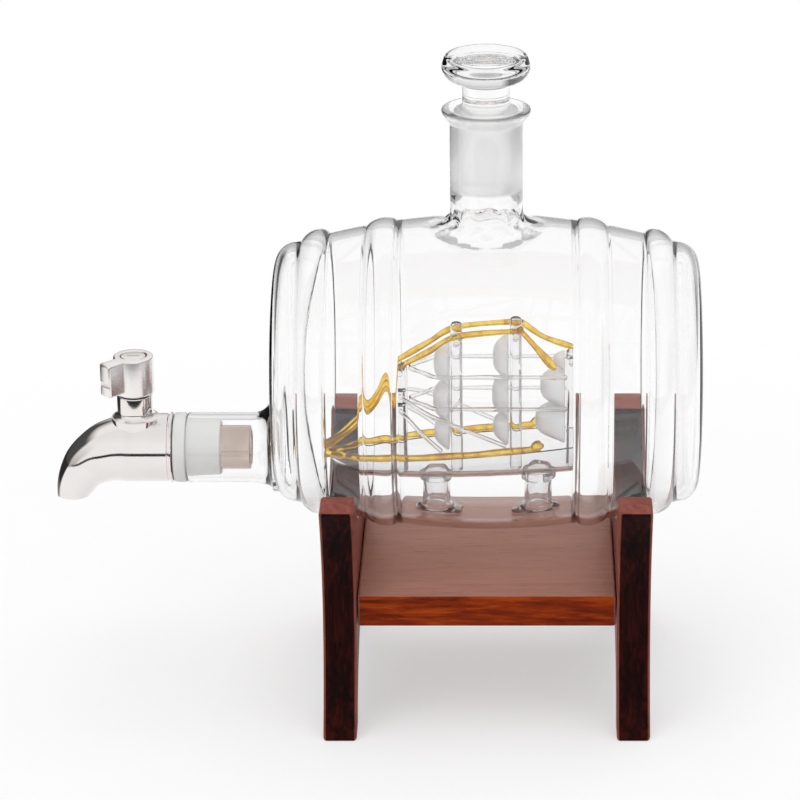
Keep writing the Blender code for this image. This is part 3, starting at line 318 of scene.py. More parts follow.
# Ship: amber rods. Rails lie on the hull's edges, stays run from the bow over the crossbars
RAIL_RADIUS = 0.0012
RAIL_BEAD_RADIUS = 0.0021
RAIL_BEAD_LENGTH = 0.0040
RAIL_END_SHARE = 0.841
# The bead swells as a sine wave to near its end and falls off there: the share of the wave, where the
# fall starts, and the fall's own start and slope
BEAD_STEPS = 8
BEAD_WAVE, BEAD_FALL = 0.78, 0.8
FALL_START, FALL_SLOPE = 0.65, 1.5
BOW_TIP_LENGTH = 0.0027
BOW_HALF_SPACING = 0.0016
STAY_RADIUS = 0.0011
STAY_HALF_SPACING = 0.0053
STAY_MAST_HALF_SPACING = 0.0042
# Shares of the way from the bow tip to the first crossbar and of the climb between them
FORESTAY_SHARES = ((0.25, 0.15), (0.50, 0.36), (0.70, 0.58), (0.83, 0.80), (0.93, 0.98))

# The uneven thickness of hand-drawn rods: share of the radius and pace along the path
RAIL_WAVE = (0.14, 0.9)
STAY_WAVE = (0.12, 0.7)
BRACE_WAVE = (0.15, 0.8)
# Swellings of the stays' last points: the near one ends in a drop, the far one thins out
NEAR_STAY_END = [1.2, 1.5, 1.5, 1.0]
FAR_STAY_END = [1.1, 1.1, 1.0, 0.8]

# Ship: clear rods along the sails' edges, and shrouds down to the rails
BRACE_RADIUS = 0.0008
BRACE_SHARES = {"upper": 0.688, "lower": 0.488}
BRACE_END_SHARE = 0.933
SHROUD_RADIUS = 0.0008
# Each shroud's top on the first mast and its foot's place along the hull. It runs straight between them
# when seen from the side; at its knee, a share of the way, it is that share of the braces' spacing out
SHROUD_SHARES = {"long": (0.528, 0.693, 0.30, 1.0), "short": (0.437, 0.440, 0.55, 0.85)}

# Places worked out from the sizes above
MOUTH_X = -(BARREL_HALF_LENGTH + OUTLET_LENGTH)
TAP_REAR_X = MOUTH_X - BUNG_FLANGE_THICKNESS - 2 * GAP
TURRET_X = TAP_REAR_X - TURRET_SETBACK
SPOUT_END_X = TURRET_X - SPOUT_REACH - MOUTH_RADIUS
BARREL_X = -(SPOUT_END_X + BARREL_HALF_LENGTH) / 2
NECK_TOP_Z = BARREL_RADIUS + NECK_HEIGHT
SOCKET_TOP_Z = NECK_TOP_Z - SOCKET_SINK
SOCKET_FOOT_Z = SOCKET_TOP_Z - SOCKET_LENGTH
SOCKET_FOOT_RADIUS = SOCKET_RADIUS - SOCKET_TAPER_SHARE * SOCKET_LENGTH
CHAMBER_RADIUS = SPINDLE_RADIUS + GAP
CAP_FOOT_Z = TURRET_HEIGHT + CAP_CLEARANCE
CAP_TOP_Z = CAP_FOOT_Z + CAP_HEIGHT
INNER_FACE_X = INNER_HOOP_X + INNER_HOOP_HALF_WIDTH + HOOP_CLEARANCE
OUTER_FACE_X = INNER_FACE_X + SUPPORT_THICKNESS
BOW_TIP_X = HULL_BOW_X - BOW_TIP_LENGTH
SHIP_HEIGHT = SHIP_TOP_Z + HULL_KEEL_DROP
BRACE_HALF_SPACING = SAIL_HALF_WIDTH + GAP + BRACE_RADIUS

# A rod's rounded end, in shares of its radius: how far out its tip and last ring lie, and the ring's size
TIP_SHARE, RING_SHARE, RING_SIZE = 0.70, 0.45, 0.72

# Studio: where the floor starts to fade to white, where it has faded, and how white it is nearest
FADE_START = 0.10
FADE_END = 0.42
FADE_LEAST = 0.45
# What the object mirrors: the table's end all round, its front, and a dark card behind to the left, with
# how bright the room past the table and the dark places are
TABLE_EDGE = 1.10
TABLE_FRONT = -0.50
CARD_X = -0.18
CARD_Y = 0.045
ROOM = 0.45
DARK = 0.03

# Camera: its rise in degrees, its distance and its step aside from the barrel's middle. In pixels, its
# focus, the photograph's size and the place of the barrel's middle in it
CAMERA_RISE = 20.8
CAMERA_DISTANCE = 1.332
CAMERA_SIDE = 0.012
CAMERA_FOCUS = 3600
PHOTO_SIZE = 800
PHOTO_X, PHOTO_Y = 487, 371.3
SENSOR_WIDTH = 36  # millimetres

ORIGIN = Matrix.Translation((BARREL_X, 0, AXIS_HEIGHT))
SPIN = Matrix.Rotation(math.radians(90), 4, "Y")  # local +Z to +X
SHIP_SIDES = ((-1, "near"), (1, "far"))


def smooth(points, steps):
    """A smooth curve through the given points."""
    points = [Vector(point) for point in points]
    ends = [points[0], *points, points[-1]]
    path = []
    for before, start, end, after in zip(ends, ends[1:], ends[2:], ends[3:]):
        lead, trail = (end - before) / 2, (after - start) / 2
        for step in range(steps):
            t = step / steps
            path.append(start * (2 * t**3 - 3 * t**2 + 1) + lead * (t**3 - 2 * t**2 + t)
                        + end * (3 * t**2 - 2 * t**3) + trail * (t**3 - t**2))
    return path + [points[-1]]


def arc(centre, radius, start, end, steps=4):
    angles = [math.radians(start + (end - start) * step / steps) for step in range(steps + 1)]
    return [(centre[0] + radius * math.cos(a), centre[1] + radius * math.sin(a)) for a in angles]


def spread(start, end, steps):
    """Even steps from a start, which is left out, to an end."""
    return [start + (end - start) * k / steps for k in range(1, steps + 1)]


def line(start, end, steps):
    """Points on a straight line from a start, which is left out, to an end."""
    return list(zip(*(spread(a, b, steps) for a, b in zip(start, end))))


def top_edge(radius, height, edge, steps=4):
    """The rounded edge of a turned form, from its top to its side."""
    return arc((radius - edge, height - edge), edge, 90, 0, steps)


def foot_edge(radius, height, edge, steps=4):
    """The rounded edge of a turned form, from its side to its foot."""
    return arc((radius - edge, height + edge), edge, 0, -90, steps)


def skin(rings, closed=False):
    """A skin over rings of points. A ring of one point is a tip, and open ends get a cap."""
    work = bmesh.new()
    rings = [[work.verts.new(point) for point in ring] for ring in rings]
    for one, two in zip(rings, rings[1:] + (rings[:1] if closed else [])):
        count = max(len(one), len(two))
        for k in range(count):
            n = (k + 1) % count
            near = [one[k], one[n]] if len(one) > 1 else one
            far = [two[n], two[k]] if len(two) > 1 else two
            work.faces.new(near + far)
    for ring in () if closed else (rings[0], rings[-1]):
        if len(ring) > 1:
            work.faces.new(ring)
    return work


def revolve(profile, sides, closed=False, turn=Matrix.Identity(4)):
    """Turns (radius, height) points round Z."""
    rings = []
    for radius, height in profile:
        angles = [math.tau * k / sides for k in range(sides)] if radius > 0 else [0]
        rings.append([turn @ Vector((radius * math.cos(a), radius * math.sin(a), height)) for a in angles])
    return skin(rings, closed)


def circle(centre, radius, first, second, sides):
    """Points round a centre, from the first direction to the second and on."""
    angles = (math.tau * k / sides for k in range(sides))
    return [centre + radius * (math.cos(a) * first + math.sin(a) * second) for a in angles]


def tube(path, radii, sides):
    """A round rod along a path, its ends rounded off."""
    last = len(path) - 1
    tangents = [(path[min(i + 1, last)] - path[max(i - 1, 0)]).normalized() for i in range(last + 1)]
    normal = tangents[0].orthogonal().normalized()
    frames = []
    for tangent in tangents:
        normal = (normal - tangent * normal.dot(tangent)).normalized()
        frames.append((tangent, normal, tangent.cross(normal)))

    def end(k, way):
        out = frames[k][0] * (way * radii[k])
        ring = circle(path[k] + out * RING_SHARE, radii[k] * RING_SIZE, *frames[k][1:], sides)
        return [[path[k] + out * TIP_SHARE], ring]

    middle = [circle(point, radius, *frame[1:], sides) for point, radius, frame in zip(path, radii, frames)]
    return skin(end(0, -1) + middle + end(last, 1)[::-1])


def loft(sections, sides):
    """A skin over round sections (x, z, radius, tilt)."""
    rings = []
    for x, z, radius, tilt in sections:
        up = Vector((-math.sin(tilt), 0, math.cos(tilt)))
        rings.append(circle(Vector((x, 0, z)), radius, up, Vector((0, 1, 0)), sides))
    return skin(rings)


def box(half, edge, segments=3):
    work = bmesh.new()
    bmesh.ops.create_cube(work, size=2, matrix=Matrix.Diagonal((*half, 1)))
    if edge:
        bmesh.ops.bevel(work, geom=work.edges[:], offset=edge, segments=segments, profile=0.5, affect="EDGES")
    return work


def finish_mesh(work, data, sharp):
    """Writes the work into a mesh, smooth but for edges sharper than an angle."""
    work.to_mesh(data)
    work.free()
    data.shade_smooth()
    data.set_sharp_from_angle(angle=math.radians(sharp))
    return data


def put(name, data):
    """A new object in the scene."""
    item = bpy.data.objects.new(name, data)
    bpy.context.scene.collection.objects.link(item)
    return item


def mesh_of(work, name, sharp=35):
    bmesh.ops.recalc_face_normals(work, faces=work.faces[:])
    return finish_mesh(work, bpy.data.meshes.new(name), sharp)


def piece(name, work, place=(0, 0, 0), turn=(0, 0, 0), sharp=35):
    """A mesh object, placed from the barrel's middle."""
    item = put(name, mesh_of(work, name, sharp))
    item.matrix_world = ORIGIN @ Matrix.LocRotScale(Vector(place), Euler(turn), None)
    return item


def form(work, place=(0, 0, 0), turn=(0, 0, 0)):
    """A form that a piece is joined with or cut by."""
    return piece("form", work, place, turn)


def round_edges(item, width, segments, angle):
    """Rounds the edges sharper than an angle when the item settles."""
    bevel = item.modifiers.new("edges", "BEVEL")
    bevel.width = width
    bevel.segments = segments
    bevel.limit_method = "ANGLE"
    bevel.angle_limit = math.radians(angle)


def settle(item, sharp, keep=False, **forms):
    """Applies an item's modifiers, the last of them booleans with the given forms, and drops the forms."""
    for operation, others in forms.items():
        for other in others:
            modifier = item.modifiers.new(operation, "BOOLEAN")
            modifier.operation = operation
            modifier.object = other
            modifier.solver = "EXACT"
    bpy.context.view_layer.update()
    evaluated = item.evaluated_get(bpy.context.evaluated_depsgraph_get())
    item.data = bpy.data.meshes.new_from_object(evaluated)
    item.modifiers.clear()
    for others in () if keep else forms.values():
        for other in others:
            bpy.data.objects.remove(other)
    work = bmesh.new()
    work.from_mesh(item.data)
    bmesh.ops.remove_doubles(work, verts=work.verts[:], dist=WELD)
    bmesh.ops.dissolve_degenerate(work, edges=work.edges[:], dist=WELD)
    finish_mesh(work, item.data, sharp)


def show(item, body, slot, materials, *nodes):
    """Puts an item on its body in place of CAD nodes and gives it its materials."""
    item.data.materials.clear()
    for material in materials:
        item.data.materials.append(material)
    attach(item, body)
    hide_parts(*nodes)


def grind(item, inside):
    """Gives an item's second material to the faces that inside(distance from the axis, height) chooses."""
    for polygon in item.data.polygons:
        place = polygon.center
        if inside(math.hypot(place.x, place.y), place.z):
            polygon.material_index = 1


# Materials. A node's inputs take a plain value or another node's output
def join(tree, value, socket):
    if isinstance(value, bpy.types.NodeSocket):
        tree.links.new(value, socket)
    else:
        socket.default_value = value


def fill(tree, node, values):
    """Fills inputs by their names, with _ for a space. A name that starts with _ is a property."""
    for name, value in values.items():
        if name.startswith("_"):
            setattr(node, name[1:], value)
        else:
            join(tree, value, node.inputs[name.replace("_", " ")])


def add(tree, kind, *sources, **values):
    """Adds a node. The sources fill its inputs in order, the values by name."""
    node = tree.nodes.new("ShaderNode" + kind)
    fill(tree, node, values)
    for number, source in enumerate(sources):
        join(tree, source, node.inputs[number])
    return node


def object_place(tree, scale=(1, 1, 1)):
    source = add(tree, "TexCoord").outputs["Object"]
    return add(tree, "Mapping", Vector=source, Scale=scale).outputs["Vector"]


def noise(tree, vector, scale, detail=2, roughness=0.5, distortion=0.0):
    return add(tree, "TexNoise", Vector=vector, Scale=scale, Detail=detail, Roughness=roughness,
               Distortion=distortion).outputs["Fac"]


def ramp(tree, source, stops):
    """The colours at the stops, and between them their mixtures."""
    node = add(tree, "ValToRGB", source)
    elements = node.color_ramp.elements
    elements.remove(elements[-1])
    for number, (position, colour) in enumerate(stops):
        element = elements.new(position) if number else elements[0]
        element.position = position
        element.color = (*colour, 1)
    return node.outputs["Color"]


def graded(tree, source, low, high, first=0.0, last=1.0):
    """Goes from first to last while the source goes from low to high."""
    return add(tree, "MapRange", source, From_Min=low, From_Max=high, To_Min=first,
               To_Max=last).outputs["Result"]


def calc(tree, operation, *sources):
    return add(tree, "Math", *sources, _operation=operation).outputs["Value"]


def mixed(tree, kind, share, first, second):
    """A mixture of two values (FLOAT) or two colours (RGBA)."""
    node = add(tree, "Mix", share, _data_type=kind)
    number = {"FLOAT": 2, "RGBA": 6}[kind]
    join(tree, first, node.inputs[number])
    join(tree, second, node.inputs[number + 1])
    return node.outputs[{"FLOAT": 0, "RGBA": 2}[kind]]


def split(tree, vector):
    return add(tree, "SeparateXYZ", vector).outputs


def end_with(tree, output, share, first, second):
    """Mixes two shaders into a tree's output."""
    mix = add(tree, "MixShader", share, first.outputs[0], second.outputs[0])
    join(tree, mix.outputs[0], tree.nodes[output].inputs["Surface"])


def shader_of(name):
    material = bpy.data.materials.new(name)
    material.use_nodes = True
    return material, material.node_tree, material.node_tree.nodes["Principled BSDF"]


def emboss(tree, shader, height, strength, distance):
    relief = add(tree, "Bump", Height=height, Strength=strength, Distance=distance)
    join(tree, relief.outputs["Normal"], shader.inputs["Normal"])


def matter(name, colour, relief, shade=None, **values):
    """A material. Its colour is plain, or a noise with the colours it runs through, and its relief a
    noise with its strength and height. With a shade, lamps shine through it as through a tinted sheet."""
    material, tree, shader = shader_of(name)
    vector = object_place(tree)
    if len(colour) == 2:
        cloud, stops = colour
        colour = ramp(tree, noise(tree, vector, *cloud), stops)
    else:
        colour = (*colour, 1)
    grain, strength, distance = relief
    emboss(tree, shader, noise(tree, vector, *grain), strength, distance)
    if isinstance(values["Roughness"], tuple):
        values["Roughness"] = graded(tree, noise(tree, vector, 700, 3), 0.0, 1.0, *values["Roughness"])
    fill(tree, shader, {"Base_Color": colour, **values})
    if shade:
        path = add(tree, "LightPath").outputs
        either = calc(tree, "MAXIMUM", path["Is Shadow Ray"], path["Is Diffuse Ray"])
        end_with(tree, "Material Output", either, shader, add(tree, "BsdfTransparent", Color=(*shade, 1)))
    return material


def clear_glass(name, tint, shade, scale, strength):
    return matter(name, tint, ((scale, 1), strength, 0.0005), shade, Roughness=0.0, IOR=GLASS_IOR,
                  Transmission_Weight=1.0)


def metal(name, dark, light, roughness, strength=0.02):
    return matter(name, ((120, 3), [(0.3, dark), (0.7, light)]), ((1500, 2), strength, 0.0002),
                  Roughness=roughness, Metallic=1.0)


def mahogany(name, grain_scale, front, other, gloss, specular, coat, lit_tops_above=-1.0):
    """Stained wood under varnish, with painted light and shade by the way a face points. The front colours,
    on faces to the front
    or back, are dark: a painted shade. The other colours, on the tops above a height, on the sides and on the
    edges, are lighter: a painted light."""
    material, tree, shader = shader_of(name)
    vector = object_place(tree, grain_scale)
    fine = noise(tree, vector, 800, 4, 0.65, 0.3)
    grain = mixed(tree, "FLOAT", 0.4, noise(tree, vector, 130, 5, 0.6, 1.2), fine)
    spots = graded(tree, noise(tree, object_place(tree), 260, 4, 0.7), 0.0, 1.0, 0.0, 0.16)
    facing = split(tree, add(tree, "TexCoord").outputs["Normal"])
    # Painted light and shade: faces that point up or to the sides take the lighter colours, and so do the
    # edges between them; faces to the front and back keep the dark colours as a painted shade
    lit_tops, sides = [graded(tree, calc(tree, "ADD", calc(tree, "ABSOLUTE", facing[axis]), spots), low, high)
                   for axis, low, high in (("Z", 0.93, 0.99), ("X", 0.25, 0.60))]
    # The painted light from above falls only on the tops above the given height
    height = split(tree, object_place(tree))["Z"]
    lit_tops = calc(tree, "MULTIPLY", lit_tops, graded(tree, height, lit_tops_above, lit_tops_above + 0.002))
    narrow, wide = (0.40, 0.5, 0.60), (0.28, 0.5, 0.72)
    colour = mixed(tree, "RGBA", calc(tree, "MAXIMUM", lit_tops, sides), ramp(tree, grain, zip(narrow, front)),
                   ramp(tree, grain, zip(wide, other)))
    fill(tree, shader, {"Base_Color": colour, "Coat_Weight": coat, "Coat_Roughness": 0.16,
                        "Roughness": graded(tree, fine, 0.0, 1.0, gloss * 0.8, gloss * 1.5),
                        "Specular_IOR_Level": specular})
    emboss(tree, shader, grain, 0.10, 0.0002)
    return material


CLEAR = clear_glass("clear_glass", (1.0, 1.0, 1.0), (0.97, 0.97, 0.97), 60, 0.05)
THIN = clear_glass("ship_glass", (0.90, 0.90, 0.905), (0.95, 0.95, 0.95), 120, 0.15)
# Ground glass scatters white, and light goes through it softened
GROUND = matter("ground_glass", (0.985, 0.985, 0.985), ((2600, 3), 0.25, 0.0002), (0.88, 0.88, 0.88),
                Roughness=0.25, IOR=GLASS_IOR, Transmission_Weight=0.75)
FROSTED = matter("frosted_glass", ((160, 3), [(0.3, (0.88, 0.88, 0.885)), (0.7, (0.94, 0.94, 0.945))]),
                 ((900, 3), 0.2, 0.0002), (0.8, 0.8, 0.8),
                 Roughness=0.35, IOR=GLASS_IOR, Transmission_Weight=0.55)
AMBER = matter("amber_glass", ((260, 3, 0.6, 0.4), [(0.36, (0.66, 0.33, 0.01)), (0.5, (0.90, 0.58, 0.04)),
                                                    (0.66, (0.97, 0.74, 0.12))]),
               ((300, 1), 0.1, 0.0003), (0.85, 0.65, 0.25),
               Roughness=0.06, IOR=1.5, Transmission_Weight=0.94)
NICKEL = metal("polished_nickel", (0.83, 0.795, 0.775), (0.87, 0.835, 0.815), (0.06, 0.11))
SATIN = metal("satin_nickel", (0.88, 0.85, 0.835), (0.94, 0.915, 0.90), (0.22, 0.30), 0.015)
# The shank's polished nickel, painted darker and warmer than the tap's: painted shade and a painted
# reflection of its warm surroundings inside the outlet
SHADED_NICKEL = metal("turned_nickel", (0.50, 0.40, 0.34), (0.60, 0.50, 0.44), (0.07, 0.12))
BRASS = metal("brass", (0.66, 0.48, 0.2), (0.76, 0.58, 0.28), (0.2, 0.3))
SILICONE = matter("silicone", ((120, 3), [(0.3, (0.78, 0.78, 0.77)), (0.7, (0.84, 0.84, 0.83))]),
                  ((700, 2), 0.12, 0.0003), (0.7, 0.7, 0.7),
                  Roughness=0.42, IOR=1.41, Transmission_Weight=0.25)
RUBBER = matter("black_rubber", ((400, 2), [(0.3, (0.015, 0.015, 0.016)), (0.7, (0.03, 0.03, 0.032))]),
                ((1500, 2), 0.1, 0.0002), Roughness=0.55)
# Each wood's first colours are the painted shade of its fronts and backs, and its second colours the painted
# light of its tops, sides and edges. On the uprights, the painted light on tops stops below the arms' tops
UPRIGHT = mahogany("mahogany_upright", (1, 1, 0.12),
                   ((0.004, 0.001, 0.001), (0.011, 0.0018, 0.0015), (0.030, 0.004, 0.0025)),
                   ((0.12, 0.026, 0.018), (0.22, 0.060, 0.044), (0.32, 0.104, 0.078)), 0.3, 0.04, 0.0,
                   -ARM_TOP_DROP - 0.004)
ALONG = mahogany("mahogany_along", (0.12, 1, 1),
                 ((0.10, 0.010, 0.001), (0.21, 0.022, 0.001), (0.32, 0.046, 0.003)),
                 ((0.27, 0.125, 0.092), (0.32, 0.152, 0.116), (0.37, 0.184, 0.144)), 0.26, 0.05, 0.04)


def body_radius(x):
    return BARREL_RADIUS - (BARREL_RADIUS - SHOULDER_RADIUS) * (x / SHOULDER_X) ** 2


def hooped_radius(x, share=1, inner_power=HOOP_POWER):
    """The barrel's radius with a share of its hoops."""
    radius = body_radius(x)
    for place, half_width, height, power in (
            (INNER_HOOP_X, INNER_HOOP_HALF_WIDTH, INNER_HOOP_HEIGHT, inner_power),
            (OUTER_HOOP_X, OUTER_HOOP_HALF_WIDTH, OUTER_HOOP_HEIGHT, HOOP_POWER)):
        u = (abs(x) - place) / half_width
        if abs(u) < 1:
            radius += share * height * (1 - u * u) ** power
    return radius


def end_profile(wall, corner_steps):
    """The barrel's right end, from the middle to the foot of its rounded corner."""
    corner = END_CORNER_RADIUS - wall
    flat_x = BARREL_HALF_LENGTH - END_DOME_HEIGHT - wall
    rim = body_radius(flat_x - corner) - wall - corner
    dome = [(rim * k / 8, flat_x + END_DOME_HEIGHT * (1 - (k / 8) ** 2)) for k in range(8)]
    return dome + arc((rim, flat_x - corner), corner, 90, 0, corner_steps)


def mirrored(half):
    return half + [(radius, -x) for radius, x in reversed(half[:-1])]


def barrel_outer():
    half = end_profile(0, 10)
    outer, inner = [
        [x for x, _ in arc((place, 0), half_width, 0, 180, 16)]
        for place, half_width in ((OUTER_HOOP_X, OUTER_HOOP_HALF_WIDTH),
                                  (INNER_HOOP_X, INNER_HOOP_HALF_WIDTH))]
    places = spread(half[-1][1], outer[0], 2)[:-1] + outer + spread(outer[-1], inner[0], 8)[:-1] + inner
    return mirrored(half + [(hooped_radius(x), x) for x in places + spread(inner[-1], 0, 14)])


def barrel_inner():
    half = end_profile(GLASS_WALL, 8)
    places = spread(half[-1][1], 0, 80)
    return mirrored(half + [(hooped_radius(x, INSIDE_SHARE, INSIDE_POWER) - GLASS_WALL, x) for x in places])


def outlet_sections(wall, beyond):
    """Sections of the outlet tube from inside the barrel to its mouth, or beyond it."""
    root_x = BARREL_HALF_LENGTH + OUTLET_ROOT_LENGTH
    keys = [(OUTLET_ROOT_LENGTH * along - root_x, OUTLET_ROOT_LIFT * lift - OUTLET_DROP,
             OUTLET_RADIUS + OUTLET_ROOT_SPREAD * out) for along, out, lift in reversed(ROOT_SHARES)]
    curve = smooth(keys + [(-root_x, -OUTLET_DROP, OUTLET_RADIUS)], 4)
    inside = (OUTLET_ROOT_DEPTH - BARREL_HALF_LENGTH, OUTLET_ROOT_LIFT - OUTLET_DROP,
              OUTLET_RADIUS + OUTLET_ROOT_SPREAD)
    straight = line(curve[-1], (MOUTH_X, -OUTLET_DROP, OUTLET_RADIUS), 6)[:-1]
    sections = [(x, z, radius - wall, 0) for x, z, radius in [inside, *curve, *straight]]
    if beyond:
        return sections + [(MOUTH_X - beyond, -OUTLET_DROP, OUTLET_RADIUS - wall, 0)]
    lip = foot_edge(OUTLET_RADIUS, MOUTH_X, OUTLET_LIP)
    return sections + [(x, -OUTLET_DROP, radius, 0) for radius, x in lip]


def neck_outer():
    root_top = BARREL_RADIUS + NECK_ROOT_RADIUS
    flare = RIM_RADIUS - NECK_RADIUS
    profile = [(0, NECK_TOP_Z), (SOCKET_RADIUS + SOCKET_SINK, NECK_TOP_Z)]
    profile += top_edge(RIM_RADIUS, NECK_TOP_Z, RIM_LIP)
    profile += smooth([(RIM_RADIUS, NECK_TOP_Z - RIM_EDGE),
                       (RIM_RADIUS - flare * 0.35, NECK_TOP_Z - RIM_HEIGHT * 0.5),
                       (NECK_RADIUS + flare * 0.12, NECK_TOP_Z - RIM_HEIGHT * 0.85),
                       (NECK_RADIUS, NECK_TOP_Z - RIM_HEIGHT * 1.2)], 4)
    profile += line(profile[-1], (NECK_RADIUS, root_top), 6)[:-1]
    outside = NECK_RADIUS + NECK_ROOT_RADIUS
    profile += arc((outside, root_top), NECK_ROOT_RADIUS, 180, 245, 10)
    foot = BARREL_RADIUS - NECK_ROOT_RADIUS
    return profile + [(outside + NECK_ROOT_RADIUS, foot), (0, foot)]


def neck_inner():
    bore, root = NECK_RADIUS - NECK_WALL, NECK_ROOT_RADIUS
    ceiling = BARREL_RADIUS - GLASS_WALL
    profile = [(0, NECK_TOP_Z + OVERRUN), (SOCKET_RADIUS + SOCKET_SINK * 1.4, NECK_TOP_Z + OVERRUN)]
    profile += [(SOCKET_RADIUS + SOCKET_SINK, NECK_TOP_Z), (SOCKET_RADIUS, SOCKET_TOP_Z)]
    profile += [(SOCKET_FOOT_RADIUS, SOCKET_FOOT_Z), (bore, SOCKET_FOOT_Z - root / 2)]
    profile += arc((bore + root, ceiling + root), root, 180, 250, 8)
    return profile + [(bore + root, ceiling - root), (0, ceiling - root)]


def melt_root(barrel):
    """Fire-polishes the crease where the neck is fused on, and leaves soft folds there."""
    work = bmesh.new()
    work.from_mesh(barrel.data)
    root = NECK_ROOT_RADIUS
    middle = NECK_RADIUS + root * MELT_MIDDLE
    chosen = [vert for vert in work.verts
              if abs(math.hypot(vert.co.x, vert.co.y) - middle) < root * MELT_HALF_WIDTH
              and abs(vert.co.z - BARREL_RADIUS + GLASS_WALL) < root * MELT_HALF_HEIGHT]
    for _ in range(MELT_ROUNDS):
        bmesh.ops.smooth_vert(work, verts=chosen, factor=0.5, use_axis_x=True, use_axis_y=True,
                              use_axis_z=True)
    for vert in chosen:
        angle = math.atan2(vert.co.y, vert.co.x)
        climb = (vert.co.z - BARREL_RADIUS) / root
        fold = sum(share * math.sin(number * angle + slant * climb + turn)
                   for share, number, slant, turn in FOLD_WAVES)
        vert.co += vert.normal * (FOLD_HEIGHT * fold * max(0.0, 1 - abs(climb - FOLD_MIDDLE)))
    work.to_mesh(barrel.data)
    work.free()


def make_barrel():
    barrel = piece("barrel_glass", revolve(barrel_outer(), BARREL_SIDES, turn=SPIN))
    neck = form(revolve(neck_outer(), NECK_SIDES))
    outlet = form(loft(outlet_sections(0, 0), NECK_SIDES))
    cavity = form(revolve(barrel_inner(), BARREL_SIDES, turn=SPIN))
    neck_bore = form(revolve(neck_inner(), NECK_SIDES))
    outlet_bore = form(loft(outlet_sections(OUTLET_WALL, OVERRUN), NECK_SIDES))
    settle(barrel, 70, UNION=[neck, outlet], DIFFERENCE=[cavity, neck_bore, outlet_bore])
    melt_root(barrel)
    show(barrel, "vessel", "clear_glass", [CLEAR, GROUND], "glass_barrel", "glass_neck", "glass_outlet")
    grind(barrel, lambda out, z: out < SOCKET_RADIUS + SOCKET_SKIN
          and SOCKET_FOOT_Z - SOCKET_SKIN < z < SOCKET_TOP_Z)


def make_stopper():
    head_foot = NECK_TOP_Z + STOPPER_WAIST_HEIGHT
    head_top = head_foot + STOPPER_HEAD_HEIGHT
    plug_foot = SOCKET_TOP_Z - SOCKET_LENGTH + GAP
    top_radius, foot_radius = SOCKET_RADIUS - GAP, SOCKET_FOOT_RADIUS - GAP
    dish = [(radius, head_top - STOPPER_DISH_DEPTH * share) for radius, share in DISH_POINTS]
    swell = STOPPER_HEAD_RADIUS - STOPPER_TOP_RADIUS
    head = [(STOPPER_TOP_RADIUS, head_top)]
    head += [(STOPPER_TOP_RADIUS + swell * out, head_foot + STOPPER_HEAD_HEIGHT * up)
             for out, up in HEAD_SHARES]
    for base, points in ((head_foot, WAIST_TOP_POINTS), (NECK_TOP_Z, WAIST_FOOT_POINTS)):
        head += [(STOPPER_WAIST_RADIUS + out, base + up) for out, up in points]
    shoulder = [(top_radius + out, NECK_TOP_Z + up) for out, up in SHOULDER_POINTS]
    shoulder += [(top_radius, SOCKET_TOP_Z)]
    profile = smooth(dish + head[:1], 4) + smooth(head + shoulder[:1], 6)[1:] + smooth(shoulder, 3)[1:]
    profile += line((top_radius, SOCKET_TOP_Z), (foot_radius, plug_foot + PLUG_FOOT_EDGE), 10)
    profile += foot_edge(foot_radius, plug_foot, PLUG_FOOT_EDGE) + [(0, plug_foot)]
    stopper = piece("stopper_glass", revolve(profile, NECK_SIDES), sharp=50)
    show(stopper, "stopper", "clear_glass", [CLEAR, GROUND], "stopper")
    grind(stopper, lambda out, z: z < SOCKET_TOP_Z and out > foot_radius - PLUG_SKIN)


def make_bung():
    plug_radius = OUTLET_RADIUS - OUTLET_WALL - GAP
    end_radius = plug_radius - BUNG_TAPER
    bore = SHANK_RADIUS + BUNG_BORE_GAP
    face_x = MOUTH_X - GAP
    inner_x, back_x = face_x + BUNG_LENGTH, face_x - BUNG_FLANGE_THICKNESS
    profile = [(bore, inner_x)] + top_edge(end_radius, inner_x, BUNG_EDGE, 5) + [(plug_radius, face_x)]
    profile += top_edge(BUNG_FLANGE_RADIUS, face_x, BUNG_FLANGE_EDGE)
    profile += foot_edge(BUNG_FLANGE_RADIUS, back_x, BUNG_FLANGE_EDGE) + [(bore, back_x)]
    bung = piece("bung_soft", revolve(profile, BUNG_SIDES, True, SPIN), (0, 0, -OUTLET_DROP), sharp=50)
    show(bung, "tap", "silicone", [SILICONE], "bung")


def make_shank():
    start = TAP_REAR_X - SHANK_SEAT_DEPTH + GAP
    end = MOUTH_X + BUNG_LENGTH + SHANK_REACH
    bore, edge = SHANK_RADIUS - SHANK_WALL, SHANK_EDGE
    profile = [(bore, end - edge)] + arc((bore + edge, end - edge), edge, 180, 90, 3)[1:]
    profile += top_edge(SHANK_RADIUS, end, edge) + [(SHANK_RADIUS, start), (bore, start)]
    shank = piece("shank_tube", revolve(profile, BUNG_SIDES, True, SPIN), (0, 0, -OUTLET_DROP))
    show(shank, "tap", "polished_nickel", [SHADED_NICKEL], "tap_shank")


def spout(start_radius, end_radius, beyond, steps):
    """Sections of the spout, from the turret's axis to its mouth and beyond it."""
    keys = [(-SPOUT_REACH * reach, -SPOUT_DROP * drop, start_radius + (end_radius - start_radius) * way, turn)
            for reach, drop, way, turn in SPOUT_SHARES]
    sections = [(x, z, radius, math.radians(90) * turn) for x, z, radius, turn in smooth(keys, steps)]
    if beyond:
        sections.append((-SPOUT_REACH, -SPOUT_DROP - beyond, end_radius, math.radians(90)))
    return sections


